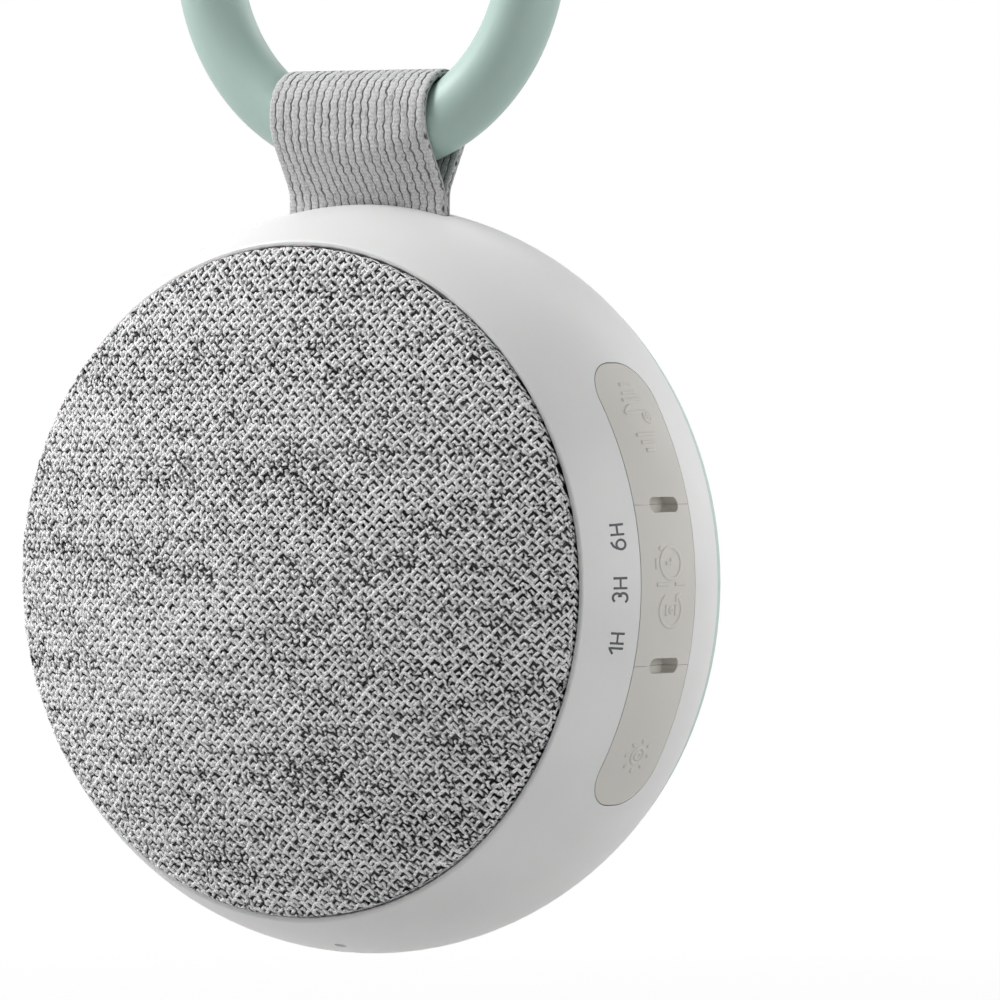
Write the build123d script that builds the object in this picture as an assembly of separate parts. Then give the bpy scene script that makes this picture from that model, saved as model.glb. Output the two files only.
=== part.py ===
"""Round sound machine and night light that hangs from a ring on a webbing strap.

Millimetres.  X is to the right, Y runs from the knit front (-Y) to the light at the back (+Y) and
Z is up.  The origin is the centre of the hanging ring.  The housing and all that it holds are
modelled about the centre of the housing, and are lowered by hang_drop when they are written.
"""

import os
from math import asin, cos, radians, sin, sqrt

from build123d import *

# ---------------------------------------------------------------- driving dimensions: housing
housing_radius = 50.0           # at the widest plane, Y = 0
flank_radius = 31.4             # the side is one arc, seen in section
front_rim_depth = 17.0          # widest plane to the front rim
back_rim_depth = 10.9           # widest plane to the back rim
housing_wall = 2.4
rim_lip = 0.7                   # thickness of the front lip round the knit
rim_rounding = 0.3
baffle_setback = 1.5            # front rim to the baffle
baffle_thickness = 1.6
boss_radius = 2.6
boss_edge_distance = 4.7        # carrier frame's edge to the circle of its screw bosses
boss_rib = 1.2
pinhole_radius = 0.8
pinhole_x = 2.0
pinhole_y = -9.8

# ---------------------------------------------------------------- driving dimensions: front
dome_height = 9.5               # front rim to the top of the knit dome
knit_thickness = 1.2
knit_gap = 0.15                 # knit to the lip
knit_edge_rounding = 0.8
grille_thickness = 1.6
grille_hole_radius = 1.4
grille_hole_pitch = 5.0
grille_hole_rings = 3
hook_width = 5.0
hook_thickness = 1.4
hook_barb = 0.7
hook_inset = 3.0                # baffle pocket wall to the hook's outer face
hook_count = 4

# ---------------------------------------------------------------- driving dimensions: back
bezel_depth = 2.2               # back rim to the bezel's back face
bezel_taper = 0.95              # the bezel gets this much smaller in radius over its depth
bezel_land = 0.8                # flat back face between the taper and the diffuser's seat
bezel_seat_width = 1.7
bezel_seat_depth = 1.8
spigot_thickness = 0.8
spigot_depth = 2.9
spigot_gap = 0.1
barb_height = 0.6
barb_length = 1.6
barb_width = 7.0
barb_count = 6
diffuser_recess = 0.45          # bezel's back face to the edge of the diffuser
diffuser_crown = 0.3
diffuser_gap = 0.15

# ---------------------------------------------------------------- driving dimensions: ring
ring_radius = 26.2              # centre line
ring_tube_radius = 4.5
gate_free_angle = 30.0          # where the gate's free end meets the ring, from +X towards +Z
gate_hinge_angle = 95.0
gate_nose = 1.4                 # length of the step that stops the gate
gate_gap = 0.15
knuckle_radius = 3.2
knuckle_half_width = 1.5
gate_pin_radius = 0.9
gate_pin_inset = 0.5            # ring surface to the end of the pin
spring_wire_radius = 0.2
spring_coil_radius = 1.35
spring_pitch = 0.5
spring_turns = 3
running_clearance = 0.05

# ---------------------------------------------------------------- driving dimensions: strap
strap_width = 25.0
strap_thickness = 1.0
strap_reach = 6.9               # ring's centre line to the fold line above the housing
strap_standoff = 1.5            # fold line to the top of the housing
strap_seam = 1.2                # both plies are one from here down to the fold line
loop_slack = 0.2
loop_seat_gap = 0.08
slot_clearance = 0.3
fold_gap = 0.15
anchor_depth = 8.5              # top of the housing to the anchor bar
anchor_bar_radius = 1.25
anchor_ear_thickness = 2.2
anchor_ear_half_depth = 3.0
anchor_ear_gap = 0.3

# ---------------------------------------------------------------- driving dimensions: keys
strip_length = 58.0             # along Z
strip_width = 11.4              # along Y
strip_centre_y = -3.2
strip_end_radius = 5.0
key_split_height = 10.5         # the strip is split into three keys at +/- this height
key_gap = 0.12                  # key to the housing
key_split_gap = 0.05
key_thickness = 3.4
key_flange = 1.0
key_flange_gap = 0.05
key_travel = 0.35
key_slot_length = 5.8
key_slot_width = 2.0
key_slot_depth = 2.4
switch_height = 21.0            # the outer switches are at +/- this height
switch_size = 4.5
switch_body_height = 2.2
switch_stem_radius = 1.1
switch_stem_height = 0.6
switch_stem_depth = 0.8
key_board_thickness = 1.2
key_board_margin = 5.0
key_board_width = 8.4
key_board_room = 0.85

# ---------------------------------------------------------------- driving dimensions: speaker
cone_radius = 15.1
surround_width = 2.4
surround_lip = 1.3
surround_thickness = 0.4
basket_radius = 23.0
basket_flange = 1.0
basket_depth = 5.6
basket_wall = 0.8
gasket_thickness = 0.8
speaker_screw_circle = 21.0
speaker_boss_radius = 2.2
speaker_boss_height = 3.0
pot_radius = 11.4
pot_wall = 1.8
pot_depth = 4.8
pot_floor = 1.1
magnet_radius = 8.0
magnet_height = 2.6
top_plate_radius = 8.2
top_plate_height = 1.1
coil_inner_radius = 8.5
coil_thickness = 0.6
coil_length = 5.0
coil_overlap = 1.6              # how far the coil reaches into the pot
cone_thickness = 0.5
dust_cap_height = 2.2
dust_cap_thickness = 0.4
spider_thickness = 0.3
spider_height = 0.6             # basket floor to the spider

# ---------------------------------------------------------------- driving dimensions: electronics
frame_front_y = 4.8
frame_thickness = 1.6
frame_edge_gap = 3.6
frame_tower_thickness = 1.8
cable_slot_length = 14.0
cable_slot_width = 3.0
cable_slot_height = 24.0
battery_width = 36.0
battery_height = 26.0
battery_thickness = 5.0
battery_centre_z = 2.0
battery_rounding = 1.5
battery_pad_thickness = 0.7
main_board_width = 34.0
main_board_top_z = -15.5
board_thickness = 1.2
board_standoff = 2.0
board_edge_gap = 0.6
standoff_radius = 2.2
board_hole_inset = 3.0
chip_layout = (                 # shares of the board across and down, width, height, thickness
    (0.0, 0.36, 7.0, 7.0, 0.9),
    (-0.25, 0.30, 5.0, 4.0, 1.0),
    (0.25, 0.30, 4.0, 5.0, 1.6),
    (-0.22, 0.62, 4.0, 4.0, 2.0),
    (0.22, 0.62, 5.0, 3.0, 1.0),
)
usb_width = 8.94
usb_height = 3.2
usb_depth = 7.3
usb_wall = 0.3
usb_wall_gap = 0.3
usb_opening_gap = 0.15
led_board_gap = 3.487           # heads of the carrier's screws to the board's edge
led_board_thickness = 1.0
led_size = 3.0
led_height = 0.8
led_circle_radii = (10.0, 24.0)
led_circle_counts = (6, 12)
reflector_thickness = 0.8
reflector_foot = 1.5
reflector_gap = 0.2

# ---------------------------------------------------------------- driving dimensions: fasteners
screw_head_radius = 2.0
screw_head_height = 1.3
screw_shank_radius = 0.9
screw_hole_radius = 0.95
screw_slot_width = 0.5
screw_slot_depth = 0.6
frame_screw_length = 8.0
board_screw_length = 4.4
speaker_screw_length = 4.2

# ---------------------------------------------------------------- places worked out from these
flank_centre = housing_radius - flank_radius
hang_drop = ring_radius + strap_reach + strap_standoff + housing_radius
fold_z = -(ring_radius + strap_reach)


def wall_radius(y, inset=0.0):
    """Radius of the housing's side at depth y, or of a surface that lies inset inside it."""
    return flank_centre + sqrt((flank_radius - inset) ** 2 - y ** 2)


front_rim_y = -front_rim_depth
baffle_front_y = front_rim_y + baffle_setback
baffle_back_y = baffle_front_y + baffle_thickness
pocket_radius = wall_radius(front_rim_y) - rim_lip
speaker_opening_radius = cone_radius + surround_width + surround_lip
frame_back_y = frame_front_y + frame_thickness
frame_radius = wall_radius(frame_back_y, housing_wall) - frame_edge_gap
boss_circle_radius = frame_radius - boss_edge_distance
led_board_radius = boss_circle_radius - screw_head_radius - led_board_gap
key_back_radius = housing_radius - key_thickness
key_board_half_length = switch_height + key_board_margin
key_board_x = sqrt((key_back_radius - key_travel - key_board_room) ** 2 - key_board_half_length ** 2)
switch_face_x = key_board_x + switch_body_height
stem_tip_x = switch_face_x + switch_stem_height
tower_x = key_board_x - key_board_thickness - frame_tower_thickness
bezel_back_y = back_rim_depth + bezel_depth
bezel_radius = wall_radius(back_rim_depth)
seat_radius = bezel_radius - bezel_taper - bezel_land
seat_y = bezel_back_y - bezel_seat_depth
spigot_radius = wall_radius(back_rim_depth, housing_wall) - spigot_gap
led_board_back_y = frame_back_y + led_board_thickness
board_back_y = frame_front_y - board_standoff
board_front_y = board_back_y - board_thickness
board_bottom_z = -sqrt((wall_radius(board_back_y, housing_wall) - board_edge_gap) ** 2
                       - (main_board_width / 2) ** 2)
board_hole_x = main_board_width / 2 - board_hole_inset
usb_y = board_front_y - usb_height / 2
flange_front_y = baffle_back_y + gasket_thickness
flange_back_y = flange_front_y + basket_flange
basket_back_y = flange_back_y + basket_depth
pot_front_y = basket_back_y - basket_wall
pot_back_y = pot_front_y + pot_depth
corner_angles = [45, 135, 225, 315]
switch_heights = [switch_height, 0.0, -switch_height]


# ---------------------------------------------------------------- shapes that repeat
def turned(*edges):
    """Solid of revolution about Y from edges drawn as (radius, y)."""
    return revolve(make_face(edges), axis=Axis.Y)


def turned_outline(*points):
    """Solid of revolution about Y from a straight-sided outline of (radius, y) points."""
    return turned(*Polyline(*points, close=True).edges())


def tube(outer, inner, front, back):
    """Round tube about Y."""
    return turned_outline((inner, front), (outer, front), (outer, back), (inner, back))


def disc(radius, front, back):
    """Round disc about Y."""
    return turned_outline((0, front), (radius, front), (radius, back), (0, back))


def rod(radius, front, back, x=0.0, z=0.0):
    """Cylinder along Y between two depths."""
    return Pos(x, (front + back) / 2, z) * Rot(90, 0, 0) * Cylinder(radius, back - front)


def rod_x(radius, x_low, x_high, y=0.0, z=0.0):
    """Cylinder along X between two places."""
    return Pos((x_low + x_high) / 2, y, z) * Rot(0, 90, 0) * Cylinder(radius, x_high - x_low)


def block(x_range, y_range, z_range):
    """Box between two corners, given as ranges."""
    size = [high - low for low, high in (x_range, y_range, z_range)]
    centre = [(low + high) / 2 for low, high in (x_range, y_range, z_range)]
    return Pos(*centre) * Box(*size)


def barrel(inset, front, back):
    """The housing's drum shape, inset from its outer surface, between two depths."""
    start = (wall_radius(front, inset), front)
    end = (wall_radius(back, inset), back)
    middle = (flank_centre + flank_radius - inset, 0)
    return turned(Line((0, front), start), ThreePointArc(start, middle, end),
                  Line(end, (0, back)), Line((0, back), (0, front)))


def spun(shape, angle):
    """Turn a shape about the housing's Y axis, from +X towards +Z."""
    return Rot(0, -angle, 0) * shape


def screw(length):
    """Pan-head screw along +Y: its head is behind Y = 0 and its shank ahead of it."""
    head = fillet(rod(screw_head_radius, 0, screw_head_height).edges().group_by(Axis.Y)[-1],
                  screw_head_height * 0.4)
    cross = block((-screw_head_radius * 0.6, screw_head_radius * 0.6),
                  (screw_head_height - screw_slot_depth, screw_head_height + 1),
                  (-screw_slot_width / 2, screw_slot_width / 2))
    recess = cross + Rot(0, 90, 0) * cross
    return head - recess + rod(screw_shank_radius, -length, 0)


def on_circle(radius, angle, shape):
    """Copy a shape that is drawn on the Y axis to a place on a circle about it."""
    return Pos(radius * cos(radians(angle)), 0, radius * sin(radians(angle))) * shape


def on_side(shape, side):
    """A shape that is drawn on the right, as it is for side 1 or mirrored for side -1."""
    return shape if side > 0 else mirror(shape, about=Plane.YZ)


# ---------------------------------------------------------------- ring and gate
hinge_x = ring_radius * cos(radians(gate_hinge_angle))
hinge_z = ring_radius * sin(radians(gate_hinge_angle))
free_x = ring_radius * cos(radians(gate_free_angle))
free_z = ring_radius * sin(radians(gate_free_angle))
gate_length = 2 * ring_radius * sin(radians((gate_hinge_angle - gate_free_angle) / 2))
ear_radius = ring_tube_radius + gate_gap


def full_ring():
    """The whole ring, before it is split from its gate."""
    return Rot(90, 0, 0) * Torus(ring_radius, ring_tube_radius)


def hinge_rod(radius, half_width):
    """Cylinder about the gate's hinge line."""
    return rod(radius, -half_width, half_width, hinge_x, hinge_z)


def gate_span():
    """Wedge that holds the stretch of the ring between the gate's two ends."""
    reach = 2 * (ring_radius + ring_tube_radius)
    middle = (gate_free_angle + gate_hinge_angle) / 2
    half = radians((gate_hinge_angle - gate_free_angle) / 2)
    corner = (reach, reach * sin(half) / cos(half))
    wedge = make_face(Polyline((0, 0), corner, (corner[0], -corner[1]), close=True).edges())
    solid = extrude(Plane.XZ * wedge, amount=2 * ring_tube_radius, both=True)
    return spun(solid, middle)


def gate_envelope(margin):
    """Space that the gate fills at its free end, grown by margin: a nose under an outer lip."""
    width = 2 * ring_tube_radius
    inner_reach = hinge_rod(gate_length + gate_nose + margin, width)
    outer_reach = hinge_rod(gate_length - gate_nose + margin, width)
    under_lip = rod(ring_radius + margin, -width, width)
    past_end = spun(gate_span(), gate_free_angle - gate_hinge_angle)
    zone = gate_span() + past_end
    return zone & (outer_reach + (inner_reach & under_lip))


def hanging_ring():
    """The ring with the gap for its gate, two hinge ears and the slot between them."""
    ears = hinge_rod(ear_radius, ring_tube_radius)
    gap = gate_envelope(gate_gap) - ears
    ring = full_ring() - gap
    slot = hinge_rod(ear_radius + gate_gap + running_clearance, knuckle_half_width + gate_gap)
    ring = ring - slot
    return ring - hinge_rod(gate_pin_radius, ring_tube_radius - gate_pin_inset)


def ring_gate():
    """The sprung gate: a stretch of the ring with a nose at one end and a knuckle at the other."""
    body = full_ring() & (gate_envelope(0.0) - hinge_rod(ear_radius + gate_gap, ring_tube_radius))
    tongue = full_ring() & gate_span() & hinge_rod(ear_radius + 2 * gate_gap, knuckle_half_width)
    gate = body + tongue + hinge_rod(knuckle_radius, knuckle_half_width)
    bore = hinge_rod(gate_pin_radius + running_clearance, ring_tube_radius)
    spring_room = hinge_rod(spring_coil_radius + spring_wire_radius + 2 * running_clearance,
                            (spring_turns + 1) * spring_pitch / 2)
    return gate - bore - spring_room


def gate_pin():
    """Steel pin through the two ears and the knuckle."""
    return hinge_rod(gate_pin_radius, ring_tube_radius - gate_pin_inset)


def gate_spring():
    """Torsion spring wound round the pin inside the knuckle."""
    length = spring_turns * spring_pitch
    path = Helix(spring_pitch, length, spring_coil_radius)
    section = (path ^ 0) * Circle(spring_wire_radius)
    coil = sweep(section, path=path, is_frenet=True)
    return Pos(hinge_x, length / 2, hinge_z) * Rot(90, 0, 0) * coil


# ---------------------------------------------------------------- strap
loop_half_width = ring_tube_radius + loop_slack
loop_top_z = loop_seat_gap - sqrt((ring_radius - ring_tube_radius) ** 2 - (strap_width / 2) ** 2)


def loop_outline(growth):
    """Section of the loop across the strap as (y, z): round the tube, then down to the fold."""
    radius = loop_half_width + growth
    upper = loop_top_z - loop_half_width
    lower = -ring_radius
    lean = asin(loop_half_width / strap_reach)
    leave = (radius * cos(lean), lower - radius * sin(lean))
    meet = (growth * cos(lean), fold_z - growth * sin(lean))
    turn = (radius * cos(lean / 2), lower - radius * sin(lean / 2))
    edges = [ThreePointArc((-radius, upper), (0, upper + radius), (radius, upper))]
    for side in (1, -1):
        edges.append(Line((side * radius, upper), (side * radius, lower)))
        edges.append(ThreePointArc((side * radius, lower), (side * turn[0], turn[1]),
                                   (side * leave[0], leave[1])))
        edges.append(Line((side * leave[0], leave[1]), (side * meet[0], meet[1])))
    if growth > 0:
        edges.append(ThreePointArc((meet[0], meet[1]), (0, fold_z - growth), (-meet[0], meet[1])))
    return make_face(edges)


def across_strap(section, width):
    """Extrude a (y, z) section along X, evenly to both sides."""
    return extrude(Plane.YZ * section, amount=width / 2, both=True)


def strap_loop():
    """Webbing loop that hangs on the ring; its rounded foot is centred on the fold line."""
    outside = across_strap(loop_outline(strap_thickness), strap_width)
    inside = across_strap(loop_outline(0.0), strap_width + 1)
    seam = block((-strap_width, strap_width), (-strap_width, strap_width),
                 (fold_z - strap_width, fold_z + strap_seam))
    return outside - (inside - seam)


anchor_z = housing_radius - anchor_depth
tail_top_z = housing_radius + strap_standoff - strap_thickness - fold_gap
tail_wrap_radius = anchor_bar_radius + running_clearance + strap_thickness


def strap_tail():
    """The strap's two plies inside the housing's slot, sewn round the anchor bar."""
    plies = block((-strap_width / 2, strap_width / 2), (-strap_thickness, strap_thickness),
                  (anchor_z, tail_top_z))
    wrap = rod_x(tail_wrap_radius, -strap_width / 2, strap_width / 2, 0, anchor_z)
    return plies + wrap - rod_x(anchor_bar_radius + running_clearance, -strap_width, strap_width,
                                0, anchor_z)


anchor_ear_x = strap_width / 2 + anchor_ear_gap


def strap_anchor_bar():
    """Steel bar that the tail is sewn round, held in the housing's two ears."""
    return rod_x(anchor_bar_radius, -anchor_ear_x - anchor_ear_thickness,
                 anchor_ear_x + anchor_ear_thickness, 0, anchor_z)


# ---------------------------------------------------------------- keys
def strip_outline(growth):
    """Key strip's outline as (y, z), grown by an even margin."""
    outline = RectangleRounded(strip_width + 2 * growth, strip_length + 2 * growth,
                               strip_end_radius + growth)
    return Plane.YZ * Pos(strip_centre_y, 0) * outline


def strip_prism(growth):
    """The strip's outline carried through the right side wall of the housing."""
    prism = extrude(strip_outline(growth), amount=housing_radius - tower_x + 1, dir=(1, 0, 0))
    return Pos(tower_x, 0, 0) * prism


def strip_skin(outer_inset, inner_inset):
    """Layer of the housing's side wall between two insets, as deep as the key strips need."""
    front = strip_centre_y - strip_width
    back = strip_centre_y + strip_width * 0.8
    return barrel(outer_inset, front, back) - barrel(inner_inset, front - 1, back + 1)


def key_zone(index):
    """Range of Z that belongs to one key: 0 is the top key and 2 the bottom one."""
    reach = strip_length
    half = key_split_gap / 2
    splits = [(key_split_height + half, reach), (half - key_split_height, key_split_height - half),
              (-reach, -key_split_height - half)]
    return splits[index]


def key_slots():
    """The two recessed slots at the splits between the keys of one strip."""
    floor_x = sqrt(housing_radius ** 2 - key_split_height ** 2) - key_slot_depth
    slots = []
    for height in (key_split_height, -key_split_height):
        profile = Plane.YZ * Pos(strip_centre_y, height) * RectangleRounded(
            key_slot_length, key_slot_width, key_slot_width * 0.45)
        slots.append(Pos(floor_x, 0, 0) * extrude(profile, amount=housing_radius, dir=(1, 0, 0)))
    return slots


def key(index, side):
    """One silicone key: pad, inner flange and the plunger that meets its switch."""
    low, high = key_zone(index)
    zone = block((-housing_radius, housing_radius), (-housing_radius, housing_radius), (low, high))
    body = strip_skin(0.0, key_thickness) & strip_prism(key_flange)
    round_pad = strip_skin(-1.0, housing_wall + key_flange_gap) - strip_prism(-key_gap)
    body = (body - round_pad) & zone
    body = body - key_slots()
    height = switch_heights[index]
    seat_x = sqrt((key_back_radius + key_flange) ** 2 - height ** 2)
    plunger = rod_x(switch_stem_radius, stem_tip_x, seat_x, strip_centre_y, height)
    return on_side(body + plunger, side)


def key_board(side):
    """Board behind one key strip, on the carrier frame's tower."""
    board = block((key_board_x - key_board_thickness, key_board_x),
                  (strip_centre_y - key_board_width / 2, strip_centre_y + key_board_width / 2),
                  (-key_board_half_length, key_board_half_length))
    return on_side(board, side)


def key_switches(side):
    """Three tact switch bodies on one key board."""
    bodies = []
    for height in switch_heights:
        half = switch_size / 2
        body = block((key_board_x, switch_face_x), (strip_centre_y - half, strip_centre_y + half),
                     (height - half, height + half))
        well = rod_x(switch_stem_radius + 2 * running_clearance,
                     switch_face_x - switch_stem_depth - key_travel - running_clearance,
                     stem_tip_x, strip_centre_y, height)
        bodies.append(body - well)
    return on_side(Compound(bodies), side)


def switch_stem(index, side):
    """Moving stem of one tact switch; it travels with its key."""
    stem = rod_x(switch_stem_radius, switch_face_x - switch_stem_depth, stem_tip_x,
                 strip_centre_y, switch_heights[index])
    return on_side(stem, side)


# ---------------------------------------------------------------- housing
def housing_shell():
    """Drum wall with its front lip and the baffle behind the grille."""
    outer_front = (wall_radius(front_rim_y), front_rim_y)
    outer_back = (wall_radius(back_rim_depth), back_rim_depth)
    inner_back = (wall_radius(back_rim_depth, housing_wall), back_rim_depth)
    inner_front = (wall_radius(baffle_back_y, housing_wall), baffle_back_y)
    shell = turned(
        ThreePointArc(outer_front, (housing_radius, 0), outer_back),
        Line(outer_back, inner_back),
        ThreePointArc(inner_back, (housing_radius - housing_wall, 0), inner_front),
        Line(inner_front, (speaker_opening_radius, baffle_back_y)),
        Line((speaker_opening_radius, baffle_back_y), (speaker_opening_radius, baffle_front_y)),
        Line((speaker_opening_radius, baffle_front_y), (pocket_radius, baffle_front_y)),
        Line((pocket_radius, baffle_front_y), (pocket_radius, front_rim_y)),
        Line((pocket_radius, front_rim_y), outer_front))
    front_edges = shell.edges().group_by(Axis.Y)[0]
    return fillet(front_edges, rim_rounding)


def frame_boss(angle):
    """Boss for one screw of the carrier frame, with a rib to the side wall."""
    post = on_circle(boss_circle_radius, angle, rod(boss_radius, baffle_back_y, frame_front_y))
    rib = spun(block((boss_circle_radius, housing_radius), (baffle_back_y, frame_front_y),
                     (-boss_rib / 2, boss_rib / 2)), angle)
    return post + (rib & barrel(housing_wall / 2, front_rim_y, frame_front_y))


def speaker_boss(angle):
    """Boss for one speaker screw, on the front of the baffle."""
    return on_circle(speaker_screw_circle, angle,
                     rod(speaker_boss_radius, baffle_front_y - speaker_boss_height, baffle_back_y))


def anchor_ear(side):
    """Ear that holds one end of the strap's anchor bar."""
    inner = side * anchor_ear_x
    outer = side * (anchor_ear_x + anchor_ear_thickness)
    ear = block((min(inner, outer), max(inner, outer)),
                (-anchor_ear_half_depth, anchor_ear_half_depth),
                (anchor_z - anchor_ear_half_depth, housing_radius))
    return ear & barrel(housing_wall / 2, front_rim_y, back_rim_depth)


def hook_window(angle):
    """Window in the baffle for one snap hook of the grille."""
    outer = pocket_radius - hook_inset + hook_barb + 2 * knit_gap
    inner = pocket_radius - hook_inset - hook_thickness - 2 * knit_gap
    half = hook_width / 2 + knit_gap
    return spun(block((inner, outer), (baffle_front_y - 1, baffle_back_y + 1), (-half, half)), angle)


def usb_opening():
    """Rounded opening for the plug in the bottom of the housing."""
    width = usb_width + 2 * usb_opening_gap
    height = usb_height + 2 * usb_opening_gap
    outline = Pos(0, usb_y) * RectangleRounded(width, height, height * 0.49)
    return Pos(0, 0, -housing_radius - 1) * extrude(outline, amount=2 * housing_wall + 1)


def pinhole():
    """Small round hole in the bottom of the housing, near the front."""
    hole = Cylinder(pinhole_radius, 4 * housing_wall)
    return Pos(pinhole_x, pinhole_y, -housing_radius) * hole


def strap_slot():
    """Slot in the top of the housing that the strap's tail goes through."""
    slot_x = strap_width / 2 + slot_clearance
    slot_y = strap_thickness + slot_clearance
    return block((-slot_x, slot_x), (-slot_y, slot_y),
                 (housing_radius - 3 * housing_wall, housing_radius + 1))


def screw_holes(angle):
    """Pilot holes of one carrier frame screw and one speaker screw."""
    frame_hole = rod(screw_hole_radius, frame_front_y - frame_screw_length, frame_front_y + 1)
    speaker_hole = rod(screw_hole_radius, baffle_back_y - speaker_screw_length, baffle_back_y + 1)
    return [on_circle(boss_circle_radius, angle, frame_hole),
            on_circle(speaker_screw_circle, angle, speaker_hole)]


def housing():
    """White moulded housing with all of its bosses, ears and openings."""
    body = housing_shell() + [anchor_ear(side) for side in (1, -1)]
    cuts = [strap_slot(), usb_opening(), pinhole(), strap_anchor_bar()]
    for angle in corner_angles:
        body = body + [frame_boss(angle), speaker_boss(angle)]
        cuts += screw_holes(angle)
    cuts += [hook_window(360 / hook_count * step) for step in range(hook_count)]
    cuts += [on_side(strip_prism(0.0), side) for side in (1, -1)]
    return body - cuts


# ---------------------------------------------------------------- grille and knit
knit_radius = pocket_radius - knit_gap
dome_radius = (knit_radius ** 2 + dome_height ** 2) / (2 * dome_height)
dome_centre_y = front_rim_y - dome_height + dome_radius


def dome_y(radius, inset=0.0):
    """Depth of the front dome, or of a surface inset behind it, at one radius."""
    return dome_centre_y - sqrt((dome_radius - inset) ** 2 - radius ** 2)


def dome_arc(radius, inset):
    """Arc of the dome from the axis out to a radius, as drawn for turning."""
    return ThreePointArc((0, dome_y(0, inset)), (radius / 2, dome_y(radius / 2, inset)),
                         (radius, dome_y(radius, inset)))


def knit_cover():
    """Knit skin over the grille, tucked down between the grille and the lip."""
    inner_radius = knit_radius - knit_thickness
    shoulder = knit_radius - knit_edge_rounding
    outer_y = dome_y(shoulder)
    inner_y = dome_y(inner_radius, knit_thickness)
    corner = (knit_radius - knit_edge_rounding * 0.25, outer_y + knit_edge_rounding * 0.3)
    side_y = outer_y + knit_edge_rounding
    foot_y = baffle_front_y
    return turned(
        dome_arc(shoulder, 0.0),
        ThreePointArc((shoulder, outer_y), corner, (knit_radius, side_y)),
        Line((knit_radius, side_y), (knit_radius, foot_y)),
        Line((knit_radius, foot_y), (inner_radius, foot_y)),
        Line((inner_radius, foot_y), (inner_radius, inner_y)),
        dome_arc(inner_radius, knit_thickness),
        Line((0, dome_y(0, knit_thickness)), (0, dome_y(0))))


def grille_holes():
    """Hole places under the knit: a centre hole and hexagon rings of holes round it."""
    places = [(0.0, 0.0)]
    for ring in range(1, grille_hole_rings + 1):
        for side in range(6):
            start = radians(60 * side)
            turn = radians(60 * side + 120)
            for step in range(ring):
                x = grille_hole_pitch * (ring * cos(start) + step * cos(turn))
                z = grille_hole_pitch * (ring * sin(start) + step * sin(turn))
                places.append((x, z))
    return places


def snap_hook(angle):
    """One hook of the grille that catches behind the baffle."""
    outer = pocket_radius - hook_inset
    inner = outer - hook_thickness
    root_y = baffle_front_y - grille_thickness / 2
    catch_y = baffle_back_y + running_clearance
    tip_y = catch_y + 2 * hook_barb
    outline = Polyline((inner, root_y), (outer, root_y), (outer, catch_y),
                       (outer + hook_barb, catch_y), (outer, tip_y), (inner, tip_y), close=True)
    hook = extrude(make_face(outline.edges()), amount=hook_width / 2, both=True)
    return spun(hook, angle)


def grille():
    """Perforated dome under the knit, with its rim and snap hooks."""
    outer_inset = knit_thickness + running_clearance
    inner_inset = outer_inset + grille_thickness
    rim_radius = knit_radius - knit_thickness - running_clearance
    foot_radius = sqrt((dome_radius - inner_inset) ** 2 - (dome_centre_y - baffle_front_y) ** 2)
    dome = turned(
        dome_arc(rim_radius, outer_inset),
        Line((rim_radius, dome_y(rim_radius, outer_inset)), (rim_radius, baffle_front_y)),
        Line((rim_radius, baffle_front_y), (foot_radius, baffle_front_y)),
        dome_arc(foot_radius, inner_inset),
        Line((0, dome_y(0, inner_inset)), (0, dome_y(0, outer_inset))))
    top = dome_y(0) - 1
    holes = [rod(grille_hole_radius, top, baffle_front_y, x, z) for x, z in grille_holes()]
    dome = dome - holes
    for step in range(hook_count):
        dome = dome + snap_hook(360 / hook_count * step)
    return dome


# ---------------------------------------------------------------- bezel, diffuser, reflector
def bezel_ring():
    """Sage ring that closes the back of the housing and carries the diffuser."""
    body = turned_outline(
        (bezel_radius, back_rim_depth), (bezel_radius - bezel_taper, bezel_back_y),
        (seat_radius, bezel_back_y), (seat_radius, seat_y), (seat_radius - bezel_seat_width, seat_y),
        (seat_radius - bezel_seat_width, back_rim_depth - spigot_depth),
        (spigot_radius, back_rim_depth - spigot_depth), (spigot_radius, back_rim_depth))
    for step in range(barb_count):
        tip_y = back_rim_depth - spigot_depth
        outline = Polyline((spigot_radius - spigot_thickness / 2, tip_y), (spigot_radius, tip_y),
                           (spigot_radius + barb_height, tip_y + barb_length / 2),
                           (spigot_radius, tip_y + barb_length),
                           (spigot_radius - spigot_thickness / 2, tip_y + barb_length), close=True)
        barb = extrude(make_face(outline.edges()), amount=barb_width / 2, both=True)
        body = body + spun(barb, 360 / barb_count * (step + 0.5))
    return body


def diffuser():
    """Opal disc in the bezel's seat, a little crowned at the back."""
    radius = seat_radius - diffuser_gap
    edge_y = bezel_back_y - diffuser_recess
    top_y = edge_y + diffuser_crown
    crown = (radius ** 2 + diffuser_crown ** 2) / (2 * diffuser_crown)
    half_y = top_y - crown + sqrt(crown ** 2 - (radius / 2) ** 2)
    return turned(
        Line((0, seat_y), (radius, seat_y)),
        Line((radius, seat_y), (radius, edge_y)),
        ThreePointArc((radius, edge_y), (radius / 2, half_y), (0, top_y)),
        Line((0, top_y), (0, seat_y)))


def light_reflector():
    """White dish between the light board and the diffuser."""
    foot_radius = led_board_radius - reflector_foot
    rim_radius = seat_radius - bezel_seat_width - reflector_gap
    foot_y = led_board_back_y
    rim_y = seat_y - reflector_gap
    return turned_outline(
        (foot_radius, foot_y), (led_board_radius, foot_y),
        (rim_radius - reflector_thickness, rim_y - reflector_thickness),
        (rim_radius, rim_y - reflector_thickness), (rim_radius, rim_y),
        (rim_radius - reflector_thickness, rim_y), (foot_radius, foot_y + reflector_thickness))


# ---------------------------------------------------------------- speaker
def ring_of_holes(radius, circle, front, back):
    """Four holes on the corner angles."""
    return [on_circle(circle, angle, rod(radius, front, back)) for angle in corner_angles]


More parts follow.
